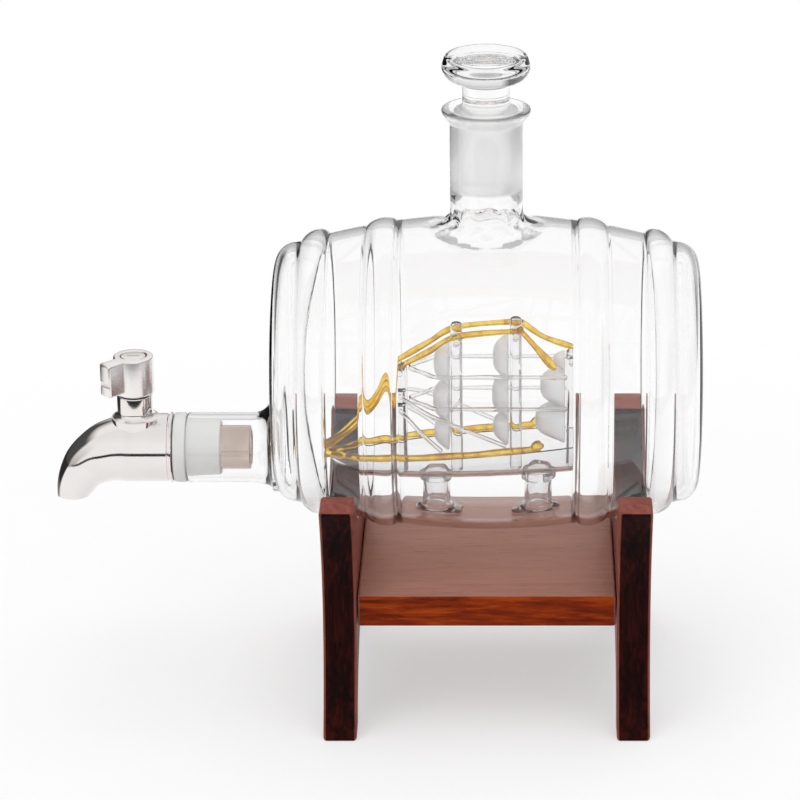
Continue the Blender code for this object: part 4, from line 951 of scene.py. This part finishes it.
def make_tap():
    place = (TURRET_X, 0, -OUTLET_DROP)
    rear, edge = TURRET_SETBACK, TAP_EDGE
    lip, lip_x = TAP_RADIUS + TAP_LIP_HEIGHT, rear - TAP_LIP_WIDTH
    groove, straight_x = TAP_RADIUS - edge * 1.4, lip_x - edge * 3.4
    rings = [(rear, lip - edge), (rear - edge, lip), (lip_x, lip), (lip_x - edge, groove),
             (lip_x - edge * 2.4, groove), (straight_x, TAP_RADIUS)]
    first_x = -SPOUT_REACH * SPOUT_SHARES[0][0]
    rings += line(rings[-1], (first_x, TAP_RADIUS), 8)[:-1]
    sections = [(x, 0, radius, 0) for x, radius in rings] + spout(TAP_RADIUS, MOUTH_RADIUS, 0, 6)
    body = piece("tap_cast", loft(sections, TAP_SIDES), place)
    turret = [(0, TURRET_HEIGHT)] + top_edge(TURRET_RADIUS, TURRET_HEIGHT, TURRET_EDGE, 3)
    root = (TURRET_RADIUS + TURRET_ROOT_RADIUS, TAP_RADIUS + TURRET_ROOT_RADIUS - GAP)
    turret += arc(root, TURRET_ROOT_RADIUS, 180, 262, 10)
    turret += [(turret[-1][0], 0), (0, 0)]
    seat_end, seat_radius = rear - SHANK_SEAT_DEPTH, SHANK_RADIUS + GAP
    seat = [(0, rear + OVERRUN), (seat_radius, rear + OVERRUN), (seat_radius, seat_end), (0, seat_end)]
    passage = [(seat_end + OVERRUN, 0, WATERWAY_RADIUS, 0)]
    passage += spout(WATERWAY_RADIUS, WATERWAY_RADIUS, OVERRUN, 2)
    top, foot = TURRET_HEIGHT + OVERRUN, -SPINDLE_DEPTH - GAP
    chamber = [(0, top), (CHAMBER_RADIUS, top), (CHAMBER_RADIUS, foot), (0, foot)]
    hollows = (revolve(seat, SCREW_SIDES, turn=SPIN), loft(passage, BORE_SIDES), revolve(chamber, BORE_SIDES))
    settle(body, 40, UNION=[form(revolve(turret, TURRET_SIDES), place)],
           DIFFERENCE=[form(hollow, place) for hollow in hollows])
    show(body, "tap", "polished_nickel", [NICKEL], "tap_body")


def make_handle():
    place, turn = Vector((TURRET_X, 0, -OUTLET_DROP)), (0, 0, LEVER_ANGLE)

    def on_lever(x, z):
        return place + Matrix.Rotation(LEVER_ANGLE, 3, "Z") @ Vector((x, 0, z))

    profile = [(0, CAP_TOP_Z)] + top_edge(CAP_RADIUS, CAP_TOP_Z, CAP_TOP_EDGE)
    profile += foot_edge(CAP_RADIUS, CAP_FOOT_Z, CAP_FOOT_EDGE, 5) + [(0, CAP_FOOT_Z)]
    handle = piece("handle_cap", revolve(profile, TAP_SIDES), place, turn)
    half = (LEVER_REACH / 2, LEVER_THICKNESS / 2, LEVER_HEIGHT / 2)
    middle = on_lever(LEVER_REACH / 2, CAP_TOP_Z - LEVER_SINK - LEVER_HEIGHT / 2)
    lever = form(box(half, LEVER_EDGE, 4), middle, turn)
    groove = form(box((LEVER_GROOVE_DEPTH, LEVER_THICKNESS, LEVER_GROOVE_WIDTH / 2), LEVER_GROOVE_EDGE, 2),
                  on_lever(LEVER_REACH, CAP_TOP_Z - LEVER_HEIGHT + LEVER_GROOVE_Z), turn)
    tang_top = TURRET_HEIGHT + TANG_HEIGHT
    half_height = (tang_top - CAP_FOOT_Z + OVERRUN) / 2
    wide = TANG_HALF_WIDTH + GAP
    tang = form(box((wide, wide, half_height), 0), place + Vector((0, 0, tang_top - half_height)), turn)
    ledge, recess_foot = CAP_TOP_Z - SCREW_HEAD_THICKNESS - GAP, tang_top - OVERRUN
    head, shaft, edge = SCREW_HEAD_RADIUS + GAP, SCREW_RADIUS + GAP, SCREW_RECESS_EDGE
    recess = [(0, CAP_TOP_Z + OVERRUN), (head + edge, CAP_TOP_Z + OVERRUN), (head + edge, CAP_TOP_Z),
              (head, CAP_TOP_Z - edge), (head, ledge), (shaft, ledge), (shaft, recess_foot), (0, recess_foot)]
    recess = form(revolve(recess, TURRET_SIDES), place, turn)
    settle(handle, 30, UNION=[lever], DIFFERENCE=[groove, tang, recess])
    show(handle, "tap_handle", "satin_nickel", [SATIN], "tap_handle")
    head_foot, top = CAP_TOP_Z - SCREW_HEAD_THICKNESS, CAP_TOP_Z - SCREW_HEAD_SINK
    tip = head_foot - SCREW_LENGTH
    profile = [(0, top)] + top_edge(SCREW_HEAD_RADIUS, top, SCREW_HEAD_EDGE, 3)
    profile += [(SCREW_HEAD_RADIUS, head_foot), (SCREW_RADIUS, head_foot), (SCREW_RADIUS, tip), (0, tip)]
    screw = piece("cap_screw", revolve(profile, SCREW_SIDES), place)
    slot = form(box((SLOT_LENGTH / 2, SLOT_WIDTH / 2, SLOT_DEPTH), 0), place + Vector((0, 0, top)))
    settle(screw, 30, DIFFERENCE=[slot])
    show(screw, "tap_handle", "polished_nickel", [NICKEL], "handle_screw")


def side_half_depth(drop):
    """Half the depth of a support's side view, narrowest at its waist."""
    end_drop, end = (ARM_TOP_DROP, ARM_HALF_DEPTH) if drop < WAIST_DROP else (AXIS_HEIGHT, FOOT_HALF_DEPTH)
    share = (WAIST_DROP - drop) / (WAIST_DROP - end_drop)
    return WAIST_HALF_DEPTH + (end - WAIST_HALF_DEPTH) * share**2


def make_stand():
    cradle = body_radius(INNER_FACE_X) + GAP
    lip_angle = math.degrees(math.acos(ARM_TOP_DROP / cradle))
    half = arc((0, 0), cradle, -90, -90 + lip_angle, 40) + [(ARM_HALF_DEPTH, -ARM_TOP_DROP)]
    for low, high in ((ARM_TOP_DROP, WAIST_DROP), (WAIST_DROP, AXIS_HEIGHT)):
        half += [(side_half_depth(drop), -drop) for drop in spread(low, high, 20)]
    arch_width = FOOT_HALF_DEPTH - LEG_DEPTH
    arch_height = AXIS_HEIGHT - BOARD_DROP - BOARD_THICKNESS - ARCH_WEB
    half += [(arch_width * y, arch_height * z - AXIS_HEIGHT) for y, z in arc((0, 0), 1, 0, 90, 40)]
    outline = half + [(-y, z) for y, z in reversed(half[1:-1])]
    for side, word in ((-1, "left"), (1, "right")):
        rings = [[(x, y, z) for y, z in outline] for x in (-SUPPORT_THICKNESS / 2, SUPPORT_THICKNESS / 2)]
        support = piece("support_" + word, skin(rings), (side * (INNER_FACE_X + OUTER_FACE_X) / 2, 0, 0))
        round_edges(support, SUPPORT_EDGE, 4, 50)
        settle(support, 60)
        show(support, "stand", "mahogany", [UPRIGHT], "stand_" + word)
    half = (INNER_FACE_X - GAP, BOARD_HALF_DEPTH, BOARD_THICKNESS / 2)
    board = piece("board_between", box(half, BOARD_EDGE, 4), (0, 0, -BOARD_DROP - BOARD_THICKNESS / 2))
    show(board, "stand", "mahogany", [ALONG], "stand_board")


def ship_x(share):
    return HULL_BOW_X + (HULL_STERN_X - HULL_BOW_X) * share


def ship_z(share):
    return SHIP_HEIGHT * share - HULL_KEEL_DROP


def hull_edge(along):
    return -HULL_BOW_EDGE_DROP + (HULL_BOW_EDGE_DROP - HULL_STERN_EDGE_DROP) * along


def hull_at(x):
    """The hull's half width, the height of its edge and its depth at a place."""
    along = min(max((x - HULL_BOW_X) / (HULL_STERN_X - HULL_BOW_X), 0), 1)
    edge = hull_edge(along)
    for (start, width, depth), (end, next_width, next_depth) in zip(HULL_SHARES, HULL_SHARES[1:]):
        if along <= end:
            part = (along - start) / (end - start)
            width += (next_width - width) * part
            depth += (next_depth - depth) * part
            break
    return HULL_HALF_WIDTH * width, edge, (edge + HULL_KEEL_DROP) * depth


def hull_form(grow, rise):
    """The hull's solid form, grown by a distance and risen over its edge."""
    rings = []
    for along, width, depth in smooth(HULL_SHARES, 5):
        along = min(max(along, 0), 1)
        edge = hull_edge(along)
        half_width = HULL_HALF_WIDTH * width + grow
        depth = (edge + HULL_KEEL_DROP) * depth + grow
        x = ship_x(along) + grow * ((along >= 0.999) - (along <= 0.001))
        points = [(-half_width, edge + rise), (half_width, edge + rise)] if rise else []
        points += [(half_width * y, edge + depth * z) for y, z in arc((0, 0), 1, 0, -180, 24)]
        rings.append([(x, y, z) for y, z in points])
    return skin(rings)


def mast_x(word):
    return ship_x(MAST_SHARES[word][0])


def mast_radius(word):
    return MAST_RADIUS * MAST_SHARES[word][2]


def rail_z(x):
    return hull_at(x)[1] + GAP + RAIL_RADIUS


def stay_z(word):
    return ship_z(MAST_SHARES[word][3]) + CROSSBAR_RADIUS + GAP + STAY_RADIUS


def make_hull():
    hull = piece("hull_glass", hull_form(0, 0))
    settle(hull, 40, DIFFERENCE=[form(hull_form(-HULL_WALL, OVERRUN))])
    show(hull, "vessel", "clear_glass", [THIN], "ship_hull")


def melt_stem(stem, phase):
    """Makes the foot and the collar of a pedestal uneven, as glass pressed on while hot."""
    for vert in stem.data.vertices:
        angle = math.atan2(vert.co.y, vert.co.x) + phase
        free = min(max((math.hypot(vert.co.x, vert.co.y) - PEDESTAL_RADIUS) / PEDESTAL_COLLAR, 0), 1)
        wave = 1 + free * sum(share * math.sin(number * angle + turn)
                              for share, number, turn in PEDESTAL_WAVES)
        vert.co.x *= wave
        vert.co.y *= wave


def make_pedestals():
    room = form(revolve([(radius - GAP, x) for radius, x in barrel_inner()], NECK_SIDES, turn=SPIN))
    hull = form(hull_form(GAP, 0))
    bore = PEDESTAL_RADIUS - PEDESTAL_WALL
    top, floor = -HULL_KEEL_DROP + 2 * PEDESTAL_WALL, -BARREL_RADIUS
    spread = PEDESTAL_FOOT_RADIUS - PEDESTAL_RADIUS
    ankle = GLASS_WALL - BARREL_RADIUS + PEDESTAL_FOOT_HEIGHT
    toe = ankle - PEDESTAL_FOOT_HEIGHT / 2
    collar = PEDESTAL_RADIUS + PEDESTAL_COLLAR
    profile = smooth([(collar, top), (collar, top - PEDESTAL_COLLAR_HEIGHT),
                      (PEDESTAL_RADIUS - PEDESTAL_NIP, top - PEDESTAL_NIP_DROP),
                      (PEDESTAL_RADIUS, ankle), (PEDESTAL_RADIUS + spread / 3, toe),
                      (PEDESTAL_FOOT_RADIUS, toe - PEDESTAL_WALL / 2)], 5)
    profile += [(PEDESTAL_FOOT_RADIUS, floor)]
    profile += smooth([(bore + spread / 2, floor), (bore + spread / 4, toe - PEDESTAL_WALL / 2),
                       (bore, ankle), (bore, top)], 4)
    for side, word in ((-1, "bow"), (1, "stern")):
        stem = piece("stem_" + word, revolve(profile, NECK_SIDES, True), (side * PEDESTAL_X, 0, 0))
        melt_stem(stem, side)
        settle(stem, 45, True, INTERSECT=[room], DIFFERENCE=[hull])
        show(stem, "vessel", "clear_glass", [THIN], "pedestal_" + word)
    bpy.data.objects.remove(room)
    bpy.data.objects.remove(hull)


def make_masts():
    for word, (_, height, _, bar_height, bar_share) in MAST_SHARES.items():
        x, top, radius = mast_x(word), ship_z(height), mast_radius(word)
        _, edge, depth = hull_at(x)
        foot = edge - depth + HULL_WALL + 2 * GAP
        profile = [(0, top)] + top_edge(radius, top, radius * MAST_TIP_SHARE, 5)
        profile += [(radius, top - radius * MAST_SIDE_SHARE), (radius, foot), (0, foot)]
        mast = piece("spar_" + word, revolve(profile, MAST_SIDES), (x, 0, 0))
        reach = SAIL_HALF_WIDTH * bar_share
        path = [Vector((0, y, 0)) for y in (-reach, 0, reach)]
        bar = form(tube(path, [CROSSBAR_RADIUS] * 3, CROSSBAR_SIDES), (x, 0, ship_z(bar_height)))
        settle(mast, 45, UNION=[bar])
        show(mast, "vessel", "clear_glass", [THIN], "mast_" + word)


def make_sails():
    """Bowed sheets with their bellies to the bow, thickened and with rounded edges."""
    side_power, top_power = SAIL_POWERS
    for word, (mast, top_share, foot_share, width_share, belly_share) in SAIL_SHARES.items():
        front = mast_x(mast) - mast_radius(mast) - GAP
        top, foot = ship_z(top_share), ship_z(foot_share)
        half_width = SAIL_HALF_WIDTH * width_share - SAIL_THICKNESS
        half_height = (top - foot) / 2 - SAIL_THICKNESS
        belly = SAIL_BELLY * belly_share
        work = bmesh.new()
        columns = []
        for i in range(SAIL_STEPS + 1):
            columns.append([])
            for j in range(SAIL_STEPS + 1):
                across, up = 2 * i / SAIL_STEPS - 1, 2 * j / SAIL_STEPS - 1
                x = front - belly * (1 - abs(across) ** side_power) * (1 - abs(up) ** top_power)
                z = (top + foot) / 2 + half_height * up
                columns[i].append(work.verts.new((x, half_width * across, z)))
        for one, two in zip(columns, columns[1:]):
            for j in range(SAIL_STEPS):
                work.faces.new((one[j], one[j + 1], two[j + 1], two[j]))
        sail = piece("cloth_" + word, work)
        if sum(polygon.normal.x for polygon in sail.data.polygons) > 0:
            sail.data.flip_normals()
        solid = sail.modifiers.new("thickness", "SOLIDIFY")
        solid.thickness = SAIL_THICKNESS
        solid.offset = 1
        round_edges(sail, SAIL_THICKNESS * 0.3, 3, 60)
        settle(sail, 60)
        show(sail, "vessel", "frosted_glass", [FROSTED], "sail_" + word)


def wavy(path, height, pace, turn=0):
    return [1 + height * math.sin(k * pace + turn) for k in range(len(path))]


def rail(side):
    """A rail's path along the hull's edge to the bead at its end, and its swellings."""
    end_x = ship_x(RAIL_END_SHARE)
    start_x = end_x - RAIL_BEAD_LENGTH
    path = [(BOW_TIP_X, side * BOW_HALF_SPACING, rail_z(BOW_TIP_X))]
    for x in (ship_x(along) for along, *_ in HULL_SHARES):
        if x < start_x:
            path.append((x, side * max(hull_at(x)[0], BOW_HALF_SPACING), rail_z(x)))
    y, start_z = side * hull_at(end_x)[0], rail_z(start_x)
    path = smooth(path + [(start_x, y, start_z)], 6)
    swellings = wavy(path, *RAIL_WAVE, side)
    swell = RAIL_BEAD_RADIUS / RAIL_RADIUS
    rise = rail_z(end_x) + RAIL_BEAD_RADIUS - RAIL_RADIUS - start_z
    for k in range(1, BEAD_STEPS + 1):
        part = k / BEAD_STEPS
        path.append(Vector((start_x + RAIL_BEAD_LENGTH * part, y, start_z + rise * min(part * 2, 1))))
        swellings.append(1 + (swell - 1) * math.sin(math.pi * part * BEAD_WAVE) if part < BEAD_FALL
                         else swell * (1 - (part - FALL_START) * FALL_SLOPE))
    return path, swellings


def stay(side):
    """A stay's path from the bow over the crossbars, and its swellings. The near one ends at a sail."""
    y = side * STAY_HALF_SPACING
    tip_z = rail_z(BOW_TIP_X) + RAIL_RADIUS + GAP + STAY_RADIUS
    tip = Vector((BOW_TIP_X, side * BOW_HALF_SPACING, tip_z))
    mast = Vector((mast_x("bow"), side * STAY_MAST_HALF_SPACING, stay_z("bow")))
    main, mizzen, stern = [Vector((mast_x(word), y, stay_z(word))) for word in ("main", "mizzen", "stern")]
    path = [tip]
    for along, up in FORESTAY_SHARES:
        path.append(tip.lerp(mast, along))
        path[-1].z = tip.z + (mast.z - tip.z) * up
    halfway = mast.lerp(main, 0.5)
    halfway.y = y
    path += [mast, halfway, main, mizzen, mizzen + Vector((2 * CROSSBAR_RADIUS, 0, -GAP))]
    if side > 0:
        path += [mizzen.lerp(stern, 0.5) - Vector((0, 0, STAY_RADIUS)), stern]
        path.append(stern + Vector((2 * STAY_RADIUS, 0, 0)))
    else:
        end_x = mast_x("stern") - mast_radius("stern") - 4 * STAY_RADIUS
        path.append((end_x, y, ship_z(SAIL_SHARES["stern_middle"][1]) + 2 * STAY_RADIUS))
    path = smooth(path, 7)
    swellings = wavy(path, *STAY_WAVE, side)
    swellings[-4:] = FAR_STAY_END if side > 0 else NEAR_STAY_END
    return path, swellings


def brace(side, height):
    """A brace's path along the sails' edges, and its swellings."""
    y, z = side * BRACE_HALF_SPACING, ship_z(height)
    first = Vector((mast_x("bow") + mast_radius("bow") + GAP + BRACE_RADIUS, side * 2 * BRACE_RADIUS, z))
    bend_x = mast_x("main") - SAIL_BELLY * SAIL_SHARES["main_upper"][4] - 3 * BRACE_RADIUS
    bend = Vector((bend_x, y, z))
    path = [first, first.lerp(bend, 0.45), bend]
    path += [(x, y, z) for x in (mast_x("main"), mast_x("mizzen"), ship_x(BRACE_END_SHARE))]
    path = smooth(path, 7)
    return path, wavy(path, *BRACE_WAVE)


def shroud(side, top, foot_share, along, out):
    """A shroud's path from the first mast to the rail, and its even swellings."""
    clear = (RAIL_RADIUS + SHROUD_RADIUS + GAP) * math.sqrt(0.5)
    foot_x = ship_x(foot_share)
    head = Vector((mast_x("bow"), side * (mast_radius("bow") + SHROUD_RADIUS + GAP), ship_z(top)))
    foot = Vector((foot_x, side * (hull_at(foot_x)[0] - clear), rail_z(foot_x) + clear))
    knee = head.lerp(foot, along)
    knee.y = side * BRACE_HALF_SPACING * out
    path = smooth([head, knee, foot], 9)
    return path, [1] * len(path)


def make_rod(name, radius, slot, material, path, swellings):
    rod = piece("rod_" + name, tube(path, [radius * swelling for swelling in swellings], ROD_SIDES))
    show(rod, "vessel", slot, [material], name)


def make_rods():
    for side, word in SHIP_SIDES:
        make_rod("rail_" + word, RAIL_RADIUS, "amber_glass", AMBER, *rail(side))
        make_rod("stay_" + word, STAY_RADIUS, "amber_glass", AMBER, *stay(side))
    for side, word in SHIP_SIDES:
        for level, height in BRACE_SHARES.items():
            make_rod(f"brace_{level}_{word}", BRACE_RADIUS, "clear_glass", THIN, *brace(side, height))
        for length, shares in SHROUD_SHARES.items():
            make_rod(f"shroud_{length}_{word}", SHROUD_RADIUS, "clear_glass", THIN, *shroud(side, *shares))


def colour_hidden_nodes():
    """The CAD nodes that nothing replaces, inside the tap and the wood."""
    for material, names in (
            (BRASS, ("valve_spindle", "bonnet_nut")), (RUBBER, ("o_ring_upper", "o_ring_lower")),
            (ALONG, ("dowel_left_front", "dowel_left_back", "dowel_right_front", "dowel_right_back"))):
        for name in names:
            materials = frame["nodes"][name].data.materials
            materials.clear()
            materials.append(material)


def make_floor():
    """It shows the object's shadow near it and fades to white. Past the table's edge it is dark to the
    object, as a studio's room is, which draws the outlines of the glass."""
    work = bmesh.new()
    bmesh.ops.create_grid(work, x_segments=1, y_segments=1, size=8)
    floor = put("floor", mesh_of(work, "floor"))
    material, tree, shader = shader_of("floor")
    vector = object_place(tree)
    colour = ramp(tree, noise(tree, vector, 6, 2), [(0.3, (0.86, 0.86, 0.86)), (0.7, (0.88, 0.88, 0.88))])
    fill(tree, shader, {"Base_Color": colour, "Roughness": 0.9, "Specular_IOR_Level": 0.1})
    path = add(tree, "LightPath").outputs
    camera_ray, through = path["Is Camera Ray"], path["Is Transmission Ray"]
    mirrored_ray = calc(tree, "MULTIPLY", path["Is Glossy Ray"], calc(tree, "SUBTRACT", 1.0, through))
    reach = add(tree, "VectorMath", vector, _operation="LENGTH").outputs["Value"]
    place = split(tree, vector)
    beyond = graded(tree, reach, TABLE_EDGE, TABLE_EDGE * 1.15, 1.0, ROOM)
    ahead = graded(tree, place["Y"], TABLE_FRONT, TABLE_FRONT * 1.1)
    card = calc(tree, "MULTIPLY", graded(tree, place["X"], CARD_X, CARD_X * 1.2),
                graded(tree, place["Y"], CARD_Y, CARD_Y * 2))
    dark = calc(tree, "MULTIPLY", calc(tree, "MAXIMUM", ahead, card), mirrored_ray)
    lit = calc(tree, "MINIMUM", beyond, calc(tree, "SUBTRACT", 1.0 + DARK, dark))
    glow = add(tree, "Emission", Color=(1, 1, 1, 1), Strength=calc(tree, "MAXIMUM", lit, camera_ray))
    seen = calc(tree, "MAXIMUM", calc(tree, "MAXIMUM", camera_ray, mirrored_ray), through)
    share = calc(tree, "MULTIPLY", seen, graded(tree, reach, FADE_START, FADE_END, FADE_LEAST))
    end_with(tree, "Material Output", share, shader, glow)
    floor.data.materials.append(material)


def make_world():
    """White to the camera. To the object it is a bright ceiling and a bright front over a dark horizon."""
    world = bpy.data.worlds.new("studio")
    bpy.context.scene.world = world
    world.use_nodes = True
    tree = world.node_tree
    place = split(tree, add(tree, "TexCoord").outputs["Generated"])
    height = graded(tree, place["Z"], 0.0, 1.0)

    def field(*stops):
        """The brightness of one part of the room by the height above the horizon."""
        return ramp(tree, height, [(up, (value, value, value)) for up, value in stops])

    back = field((0.0, 0.50), (0.15, 0.60), (0.30, 0.78), (0.50, 0.93), (0.80, 0.90))
    left = field((0.0, 0.07), (0.45, 0.08), (0.60, 0.60), (0.72, 0.95), (0.85, 0.98))
    right = field((0.0, 0.20), (0.35, 0.30), (0.50, 0.75), (0.65, 0.95), (0.85, 0.98))
    front = field((0.0, 0.98), (0.5, 0.98), (0.80, 0.90))
    room = mixed(tree, "RGBA", graded(tree, place["Y"], -0.35, -0.55), back, front)
    room = mixed(tree, "RGBA", graded(tree, place["X"], 0.55, 0.75), room, right)
    corner = calc(tree, "MULTIPLY", graded(tree, place["X"], -0.25, -0.40),
                  graded(tree, place["Y"], -0.05, 0.10))
    background = tree.nodes["Background"]
    fill(tree, background, {"Color": mixed(tree, "RGBA", corner, room, left), "Strength": 1.0})
    white = add(tree, "Background", Color=(1, 1, 1, 1), Strength=1.0)
    end_with(tree, "World Output", add(tree, "LightPath").outputs["Is Camera Ray"], background, white)


def lamp(name, place, target, size, power):
    """A softbox. Metal and glass mirror the world's bright fields in its place."""
    data = bpy.data.lights.new(name, "AREA")
    data.size = size
    data.energy = power
    item = put(name, data)
    item.location = place
    item.rotation_euler = (Vector(target) - Vector(place)).to_track_quat("-Z", "Y").to_euler()
    item.visible_glossy = False
    item.visible_transmission = False


def make_camera():
    """It looks straight across the barrel, and its shift keeps the object where the photograph has it."""
    rise, distance = math.radians(CAMERA_RISE), CAMERA_DISTANCE
    data = bpy.data.cameras.new("camera")
    data.lens = SENSOR_WIDTH * CAMERA_FOCUS / PHOTO_SIZE
    data.shift_x = -(PHOTO_X - PHOTO_SIZE / 2 + CAMERA_SIDE * CAMERA_FOCUS / distance) / PHOTO_SIZE
    data.clip_start, data.clip_end = 0.05, 50
    camera = put("camera", data)
    camera.location = (BARREL_X + CAMERA_SIDE, -distance * math.cos(rise),
                       AXIS_HEIGHT + distance * math.sin(rise))
    tilt = rise + math.atan((PHOTO_SIZE / 2 - PHOTO_Y) / CAMERA_FOCUS)
    camera.rotation_euler = (math.radians(90) - tilt, 0, 0)
    bpy.context.scene.camera = camera


for make in (make_barrel, make_stopper, make_bung, make_shank, make_tap, make_handle, make_stand, make_hull,
             make_pedestals, make_masts, make_sails, make_rods, colour_hidden_nodes, make_floor, make_world):
    make()

lamp("ceiling", (0.0, 0.1, 1.5), (0.0, 0.0, 0.0), 1.6, 8)
lamp("front_left", (-0.9, -1.1, 0.9), (0.0, 0.0, 0.1), 0.9, 2.5)
make_camera()

scene = bpy.context.scene
scene.view_settings.view_transform = "Standard"
scene.cycles.max_bounces = 32
scene.cycles.transmission_bounces = 32
scene.cycles.transparent_max_bounces = 32
scene.cycles.caustics_reflective = False
scene.cycles.caustics_refractive = False
scene.cycles.sample_clamp_indirect = 6
